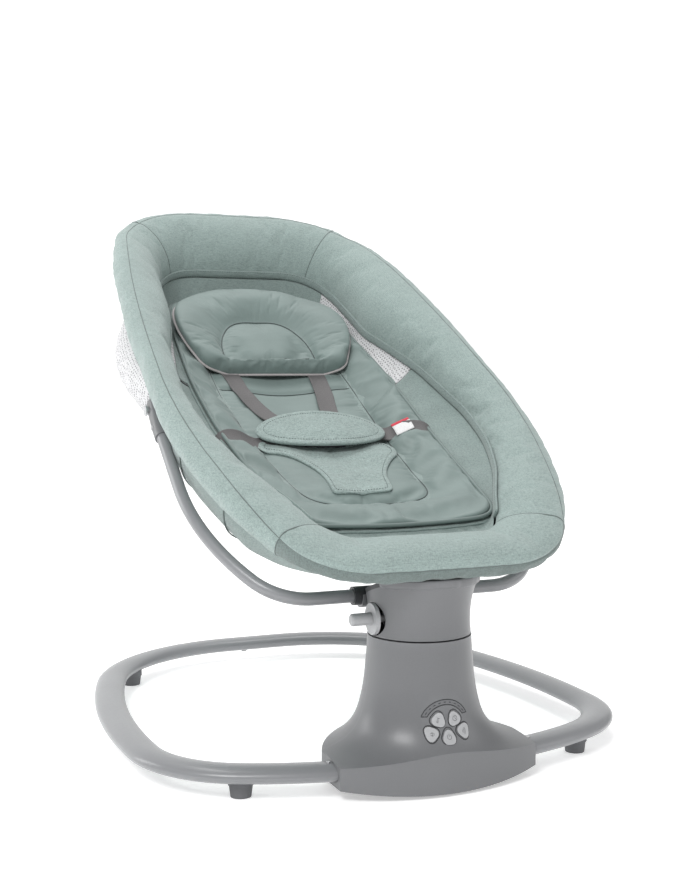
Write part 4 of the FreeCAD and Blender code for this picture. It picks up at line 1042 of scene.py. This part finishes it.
def cushion_depth(x, s):
    """Depth of the finished cushion's top, read from the grid."""
    x, s = np.broadcast_arrays(np.asarray(x, float), np.asarray(s, float))
    u = np.clip((x - SURFACE_X[0]) / SURFACE_STEP, 0, len(SURFACE_X) - 1.001)
    v = np.clip((s - SURFACE_S[0]) / SURFACE_STEP, 0, len(SURFACE_S) - 1.001)
    i, j = u.astype(int), v.astype(int)
    fu, fv = u - i, v - j
    near = surface_depth[i, j] * (1 - fu) + surface_depth[i + 1, j] * fu
    far = surface_depth[i, j + 1] * (1 - fu) + surface_depth[i + 1, j + 1] * fu
    return near * (1 - fv) + far * fv


def on_cushion(x, s, lift):
    return seat(x, s, cushion_depth(x, s) - lift)


def cushion_outline(grow=0.0, count=340):
    """The cushion's outline, grown outwards by grow."""
    right = ((118 + grow, 103 - grow, 32), (126 + grow, 190, 60), (136 + grow, 340, 80),
             (138 + grow, 470, 80), (122 + grow, 660, 60), (102 + grow, 716 + grow, 40))
    return loop_of(mirrored(right), count)


def seat_cushion():
    """The quilted cushion with its sewn channel and cross seam, on a wider thin backing."""
    seam = loop_of(mirrored(((76, 172, 34), (86, 300, 60), (96, 480, 60), (84, 676, 40))), 340)
    pad, seam_line, edge = quilted("quilted_cushion", cushion_outline(), seam, (230, 600), rest_depth,
                                   (8.0, 4.0), 17.0, cushion_fabric, (6.0, 0.06, 4.5), (12, 20),
                                   (4.0, -1.0), ((CROSS_SEAM, CROSS_HALF),))
    soft(pad, "cushion_fabric", 0.7, "seat_cushion")
    pad_seam("cushion_seam", laid_on(pad, seam_line, 0.4 * MM))
    learn_surface(pad)
    across = np.linspace(-CROSS_HALF, CROSS_HALF, 80)
    crossing = laid_on(pad, on_cushion(across, np.full(80, CROSS_SEAM), 0.0), 0.3 * MM)
    pad_seam("cushion_cross_seam", crossing, closed=False)
    follow(tube("cushion_piping", edge, 2.3 * MM, piping_fabric, closed=True))
    hem, _, _ = quilted("cushion_backing", cushion_outline(6.0, 300), cushion_outline(-8.0, 300),
                        (230, 600), lambda x, s: rest_depth(x, s) + 5.0, (1.5, 0.5), 9.0, panel_fabric,
                        (1.0, 0.01, 2.0), (4, 6))
    soft(hem, "rim_fabric", 0.4)


def pad_seam(name, path, closed=True):
    thread_line(name, path, 0.75, dark_thread, closed)


def pad_stitches(name, seam_line):
    """Stitches along a pad's sewn line."""
    path = np.vstack([seam_line, seam_line[:1]]) - DOWN * 0.3 * MM
    follow(stitches(name, [path], dark_thread, 3.4 * MM, 0.36 * MM))


def under_pillow(x, s):
    """The cushion's hollow, filled up in the middle and raised towards the head."""
    flattened = np.minimum(rest_depth(x, s), rest_depth(68.0, s))
    return flattened - 6.0 - 18.0 * np.clip((s - 526) / 180, 0, 1)


def head_pillow():
    """D-shaped pillow with a smaller sewn D inside it."""
    outline = loop_of([(-104, 526, 12), (98, 526, 12), (124, 585, 60), (117, 650, 60), (60, 706, 80),
                       (-64, 706, 80), (-122, 650, 60), (-130, 585, 60)], 300)
    seam = loop_of([(-68, 535, 10), (62, 535, 10), (60, 590, 44), (34, 632, 44), (-40, 632, 44),
                    (-66, 590, 44)], 300)
    pad, seam_line, edge = quilted("pillow", outline, seam, (565, 595), under_pillow, (17.0, 9.0), 5.0,
                                   cushion_fabric, (6.0, 0.05, 7.0), (14, 10), (-5.0, -1.0))
    soft(pad, "cushion_fabric", 0.8, "head_pillow")
    pad_seam("pillow_seam", laid_on(pad, seam_line, 0.4 * MM))
    piping = tube("pillow_piping", edge + DOWN * 1.2 * MM, 1.7 * MM, edge_ribbon, closed=True)
    follow(piping)


WAIST_S = 348   # the waist pad's middle, along the seat


def under_waist_pad(x, s):
    return 58.0 + 7.0 * (x / 85) ** 2 + 0.05 * (s - WAIST_S)


def waist_pad():
    angle = np.arange(200) * 2 * math.pi / 200
    outline, seam = (np.stack([wide * np.cos(angle), WAIST_S + long * np.sin(angle)], 1)
                     for wide, long in ((85, 41), (75, 32)))
    pad, seam_line, _ = quilted("oval_waist_pad", outline, seam, (340, 356), under_waist_pad,
                                (1.2, 4.0), 6.0, pad_fabric, (2.0, 0.01, 3.0), (5, 10), (-2.2, 0.0))
    soft(pad, "rim_fabric", 0.6, "waist_pad")
    pad_stitches("waist_pad_stitches", seam_line)


def under_crotch_pad(x, s):
    """On the cushion at the foot end, rising to the waist pad's underside."""
    laid = cushion_depth(x, s) - 2.0
    under_pad = 74.0 - 3.0 * (x / 84) ** 2
    share = np.clip((s - 245) / 60, 0, 1) ** 1.5
    return laid * (1 - share) + np.minimum(under_pad, laid) * share


def crotch_pad():
    """Pad between the legs, with a wing on each side below the waist pad."""
    outline = loop_of([(-44, 188, 7), (30, 188, 7), (42, 238, 30), (60, 268, 30), (88, 300, 16),
                       (84, 330, 14), (-84, 342, 14), (-92, 318, 16), (-52, 290, 30),
                       (-34, 250, 30)], 260)
    inside = loop_of([(-39, 193, 5), (25, 193, 5), (36, 238, 30), (55, 273, 30), (79, 303, 12),
                      (76, 323, 10), (-76, 335, 10), (-82, 321, 12), (-48, 297, 30),
                      (-29, 252, 30)], 260)
    pad, seam_line, _ = quilted("crotch_pad_cover", outline, inside, (225, 318), under_crotch_pad,
                                (0.8, 1.5), 5.0, pad_fabric, (1.0, 0.01, 2.0), (4, 8), (-1.6, 0.0))
    soft(pad, "rim_fabric", 0.5, "crotch_pad")
    pad_stitches("crotch_pad_stitches", seam_line)


# ---- harness --------------------------------------------------------------------------------------
WEBBING_WIDTH = 24.0
WEBBING_THICK = 1.5


def webbing(name, places, lean, base, material):
    """A strap through (x, s, depth) places, flat along base; lean tips it about its own line."""
    places = np.array(places, float)
    steps = along_path(places)
    line = read_path(places, steps, np.arange(0, steps[-1] + 0.1, 3.0))
    line = np.stack([smoothed(column, 9) for column in line.T], 1)
    path = seat(*line.T)
    ahead = unit(np.gradient(path, axis=0))
    across = unit(base - ahead * (ahead @ base)[:, None])
    normal = np.cross(ahead, across)
    normal *= np.sign(-(normal @ DOWN))[:, None]
    tip = np.interp(np.linspace(0, 1, len(path)), np.linspace(0, 1, len(lean)), lean)
    turned = across * np.cos(tip)[:, None] + normal * np.sin(tip)[:, None]
    normal = normal * np.cos(tip)[:, None] - across * np.sin(tip)[:, None]
    half = WEBBING_WIDTH / 2
    profile = [(-half, 0.0), (-half + 0.7, 0.9), (-half + 1.8, 0.55), (0, 0.5), (half - 1.8, 0.55),
               (half - 0.7, 0.9), (half, 0.0), (half - 0.7, -0.9), (half - 1.8, -0.5), (0, -0.5),
               (-half + 1.8, -0.5), (-half + 0.7, -0.9)]
    points = np.stack([path + turned * out * MM + normal * up * WEBBING_THICK * MM
                       for out, up in profile], 1)
    ridge = np.where(np.arange(len(path)) % 2 == 0, 0.12, -0.12) * MM
    points += normal[:, None, :] * ridge[:, None, None]
    return ringed(name, points, material)


# along a strap: across, along the seat, height above the cushion or, past BELT_DEPTH_FROM, the depth
BELT_DEPTH_FROM = 20
BELT_RUNS = {
    "right": ((137, 320, -8), (134, 322, -1), (126, 328, 2), (114, 336, 2.2), (104, 343, 2.2),
              (90, 347, 3), (70, 350, 68), (40, 348, 72)),
    "left": ((-139, 316, -8), (-136, 317, -1), (-126, 319, 2), (-112, 323, 2.2), (-98, 328, 2.2),
             (-84, 333, 3), (-60, 338, 68), (-40, 342, 72)),
}
SHOULDER_RUN = ((64, 570, -6), (63, 540, 0), (60, 512, 2), (58, 488, 3), (55, 470, 2.5), (52, 455, 2.5),
                (49, 440, 2.5), (45, 420, 3), (41, 404, 5), (30, 372, 12))


def harness():
    """Shoulder and waist straps, laid on the finished cushion."""
    for name, side in (("right", 1), ("left", -1)):
        run = [(x * side - 5, s, lift) for x, s, lift in SHOULDER_RUN]
        places = [(x, s, float(cushion_depth(x, s)) - lift) for x, s, lift in run]
        lean = (0.0, 0.1 * side, -0.08 * side)
        strap = webbing(f"shoulder_webbing_{name}", places, lean, ACROSS, strap_fabric)
        follow(strap)
        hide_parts(f"shoulder_strap_{name}")
        places = [(x, s, lift if lift > BELT_DEPTH_FROM else float(cushion_depth(x, s)) - lift)
                  for x, s, lift in BELT_RUNS[name]]
        belt = webbing(f"waist_webbing_{name}", places, (0.25, 0.1, 0.0), ALONG, belt_fabric)
        follow(belt)
        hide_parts(f"waist_strap_{name}")


def care_tag():
    """Blank care label folded over the right waist strap: white cloth with a red band along its top."""
    columns, rows = 10, 14
    wide, long = 21.0, 24.0
    u, v = np.meshgrid(np.linspace(0, 1, columns), np.linspace(0, 1, rows), indexing="ij")
    near, far = cushion_depth(98.0, 345.0), cushion_depth(116.0, 342.0)
    lift = 5.4 + 0.9 * np.sin(v * math.pi) + 0.3 * np.sin(u * 5)
    points = seat(96 + wide * u, 332 + long * v, near + (far - near) * u - lift)
    for name, low, high, material in (("care_tag_band", 10, 14, tag_stripe),
                                      ("care_tag_cloth", 0, 11, tag_cloth)):
        part = points[:, low:high]
        faces = grid_faces(columns, part.shape[1], False, False)
        tag = mesh_object(name, part.reshape(-1, 3), faces, material)
        thick = tag.modifiers.new("cloth", "SOLIDIFY")
        thick.thickness = 0.5 * MM
        follow(tag)


# ---- hard details ---------------------------------------------------------------------------------
HOUSING_FRONT = -0.33          # metres, where a ray meets nothing
WINDOW_Z = 64.0                # centre of the window's arcs
WINDOW_MARKS = 9


def front_of(*names):
    """A function that finds the front surface of CAD pieces at a place (x, z)."""
    graph = bpy.context.evaluated_depsgraph_get()
    nodes = [frame["nodes"][name] for name in names]
    trees = [(BVHTree.FromObject(obj, graph), obj.matrix_world.copy()) for obj in nodes]

    def spot(x, z, lift):
        fronts = []
        for tree, placed in trees:
            inverse = placed.inverted()
            start = inverse @ Vector((x, -0.6, z))
            hit = tree.ray_cast(start, inverse.to_3x3() @ Vector((0, 1, 0)))[0]
            if hit is not None:
                fronts.append((placed @ hit).y)
        return (x, min(fronts, default=HOUSING_FRONT) - lift, z)
    return spot


def middle_of(name):
    low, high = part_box(name)
    return (low.x + high.x) / 2, (low.z + high.z) / 2


def stroke(name, spot, places, radius, lift, material, body="base", closed=False):
    """A thin raised line on the housing's front through (x, z) places in millimetres."""
    path = np.array([spot(x * MM, z * MM, lift * MM) for x, z in places])
    line = tube(name, path, radius * MM, material, closed=closed, sides=6, up=(0.0, -1.0, 0.0))
    follow(line, body)


def arc(centre, radius, start, end, count=24):
    angles = np.radians(np.linspace(start, end, count))
    return [(centre[0] + radius * math.cos(a), centre[1] + radius * math.sin(a)) for a in angles]


def icon_lines(kind, cx, cz):
    """Lines (x, z) of a plain sign for a button centred at (cx, cz)."""
    if kind == "button_power":
        return [arc((cx, cz), 2.2, 125, 415), [(cx, cz + 0.4), (cx, cz + 2.8)]]
    if kind == "button_timer":
        return [arc((cx, cz), 2.4, 0, 340), [(cx, cz + 1.5), (cx, cz)],
                [(cx, cz), (cx + 1.1, cz - 0.5)]]
    if kind == "button_music":
        return [arc((cx - 1.0, cz - 1.6), 0.8, 0, 340, 12),
                [(cx - 0.3, cz - 1.6), (cx - 0.3, cz + 2.0)],
                [(cx - 0.3, cz + 2.0), (cx + 1.6, cz + 1.2)]]
    if kind == "button_volume":
        return [[(cx - 1.8, cz - 0.7), (cx - 0.9, cz - 0.7), (cx + 0.3, cz - 1.9), (cx + 0.3, cz + 1.9),
                 (cx - 0.9, cz + 0.7), (cx - 1.8, cz + 0.7)], arc((cx + 0.4, cz), 1.5, -50, 50, 10)]
    return [arc((cx - 2.4, cz), radius, -42, 42, 12) for radius in (1.8, 3.3, 4.8)]


def panel_details():
    """Icons, dark gaps round the buttons, the window's outline and its row of marks."""
    shell = front_of("housing_front_shell")
    for name in ("button_music", "button_timer", "button_volume", "button_speed", "button_power"):
        cx, cz = (value / MM for value in middle_of(name))
        cap = front_of(name)
        for number, line in enumerate(icon_lines(name, cx, cz)):
            stroke(f"{name}_icon_{number + 1}", cap, line, 0.26, 0.05, icon_ink, name)
        ring = []
        aim = math.atan2(WINDOW_Z - cz, -cx)
        for step in range(36):
            angle = 2 * math.pi * step / 36
            reach = 7.75 * (1 + 0.10 * math.cos(3 * (angle - aim)))
            ring.append((cx + reach * math.cos(angle), cz + reach * math.sin(angle)))
        stroke(f"{name}_gap", shell, ring, 0.5, -0.1, gap_ink, closed=True)
    window = front_of("control_panel_window", "housing_front_shell")
    centre = (0, WINDOW_Z)
    outer, inner = (math.degrees(math.asin(12.5 / radius)) for radius in (27.9, 23.1))
    outline = arc(centre, 28.0, outer, 180 - outer, 40) + arc(centre, 23.0, 180 - inner, inner, 40)
    stroke("window_outline", window, outline, 0.5, 0.0, gap_ink, closed=True)
    for number in range(WINDOW_MARKS):
        middle = 38 + number * 13
        marks = arc(centre, 25.5, middle - 2.6, middle + 2.6, 5)
        stroke(f"window_mark_{number + 1}", window, marks, 0.42, 0.05, mark_ink)


COLLAR_SIDES = 72
# the neck's outline times a share, grown by mm, at mm above the neck's top
COLLAR_ROWS = ((1.0, -2.0, -1.0), (1.0, -0.1, 0.05), (1.0, 0.5, 3.0), (1.0, 1.0, 6.5), (1.0, 0.7, 7.9),
               (1.0, -0.4, 8.4), (0.6, -1.0, 8.4), (0.02, -0.4, 8.4))


def neck_collar():
    """Raised collar round the neck's top, closed by a deck below the seat."""
    obj = frame["nodes"]["neck_front_shell"]
    shell = np.array([obj.matrix_world @ vertex.co for vertex in obj.data.vertices])
    top = shell[:, 2].max()
    lip = shell[shell[:, 2] > top - 1.0 * MM]
    middle = (lip.max(0) + lip.min(0)) / 2
    angle = np.arctan2(lip[:, 1] - middle[1], lip[:, 0] - middle[0])
    reach = np.hypot(lip[:, 0] - middle[0], lip[:, 1] - middle[1])
    ring = []
    for step in range(COLLAR_SIDES):
        aim = -math.pi + 2 * math.pi * (step + 0.5) / COLLAR_SIDES
        near = np.abs((angle - aim + math.pi) % (2 * math.pi) - math.pi) < math.pi / 36
        if near.any():
            ring.append((aim, reach[near].max()))
    rows = []
    for share, grow, rise in COLLAR_ROWS:
        rows.append([(middle[0] + (size * share + grow * MM) * math.cos(aim),
                      middle[1] + (size * share + grow * MM) * math.sin(aim), top + rise * MM)
                     for aim, size in ring])
    collar = ringed("neck_collar", np.array(rows), FINISHES["grey_plastic"])
    follow(collar, "swing_arms")


# ---- stage, light, camera -------------------------------------------------------------------------
FLOOR_HALF = 6.0
FLOOR_GLOW = 0.42
BEND_FROM = 3.0
BEND_RADIUS = 1.6
WORLD_LIGHT = 0.44


def stage():
    """A bright floor that bends up behind the swing, and a world that the camera sees as white."""
    paint = Nodes("studio_floor", 0.9)
    grain = paint.noise(paint.place, 3.0, 3.0)
    paint.colour(paint.ramp(grain, [(0.0, (0.93, 0.93, 0.93)), (1.0, (0.95, 0.95, 0.95))]))
    paint.shader.inputs["Emission Color"].default_value = (1, 1, 1, 1)
    paint.shader.inputs["Emission Strength"].default_value = FLOOR_GLOW
    profile = [(-FLOOR_HALF, 0.0), (BEND_FROM, 0.0)]
    for step in range(1, 15):
        angle = math.pi / 2 * step / 14
        profile.append((BEND_FROM + BEND_RADIUS * math.sin(angle), BEND_RADIUS * (1 - math.cos(angle))))
    profile.append((BEND_FROM + BEND_RADIUS, FLOOR_HALF))
    points = [(x, y, z) for y, z in profile for x in (-FLOOR_HALF, FLOOR_HALF)]
    faces = [(2 * i, 2 * i + 1, 2 * i + 3, 2 * i + 2) for i in range(len(profile) - 1)]
    mesh_object("studio_floor", points, faces, paint.material)
    world = bpy.data.worlds.new("studio")
    bpy.context.scene.world = world
    world.use_nodes = True
    nodes = world.node_tree.nodes
    light = nodes["Background"]
    seen = nodes.new("ShaderNodeBackground")
    for background, strength in ((light, WORLD_LIGHT), (seen, 1.0)):
        background.inputs["Color"].default_value = (1, 1, 1, 1)
        background.inputs["Strength"].default_value = strength
    choice = nodes.new("ShaderNodeMixShader")
    rays = nodes.new("ShaderNodeLightPath")
    for a, b in ((rays.outputs["Is Camera Ray"], choice.inputs[0]),
                 (light.outputs[0], choice.inputs[1]), (seen.outputs[0], choice.inputs[2]),
                 (choice.outputs[0], nodes["World Output"].inputs["Surface"])):
        world.node_tree.links.new(a, b)
    bpy.context.scene.view_settings.view_transform = "Standard"


def area_light(name, at, aim, size, power):
    data = bpy.data.lights.new(name, "AREA")
    data.shape = "RECTANGLE"
    data.size, data.size_y = size
    data.energy = power
    light = bpy.data.objects.new(name, data)
    bpy.context.scene.collection.objects.link(light)
    light.location = at
    light.rotation_euler = (Vector(aim) - Vector(at)).to_track_quat("-Z", "Y").to_euler()


def lights():
    middle = (0.0, 0.0, 0.35)
    area_light("key", (-1.7, -1.7, 2.3), middle, (1.3, 1.0), 50)
    area_light("fill", (2.4, -1.4, 1.3), middle, (1.4, 1.4), 7)
    area_light("top", (0.2, 0.9, 2.9), middle, (1.8, 1.3), 40)
    area_light("edge", (-2.3, 1.6, 1.3), middle, (0.8, 1.6), 18)


def camera():
    data = bpy.data.cameras.new("photo_camera")
    data.lens = CAMERA_LENS
    data.sensor_width = CAMERA_SENSOR
    data.clip_start = 0.05
    cam = bpy.data.objects.new("photo_camera", data)
    bpy.context.scene.collection.objects.link(cam)
    cam.location = CAMERA_AT
    cam.rotation_euler = (math.radians(90.0 - CAMERA_PITCH), 0.0, math.radians(CAMERA_AZIMUTH))
    bpy.context.scene.camera = cam


# ---- the swing ------------------------------------------------------------------------------------
stage()
lights()
camera()
finish_cad_nodes()
rim_trim(*rim_cover())
seat_liner()
hammock_seams()
mesh_windows()
seat_cushion()
head_pillow()
waist_pad()
crotch_pad()
harness()
care_tag()
panel_details()
neck_collar()
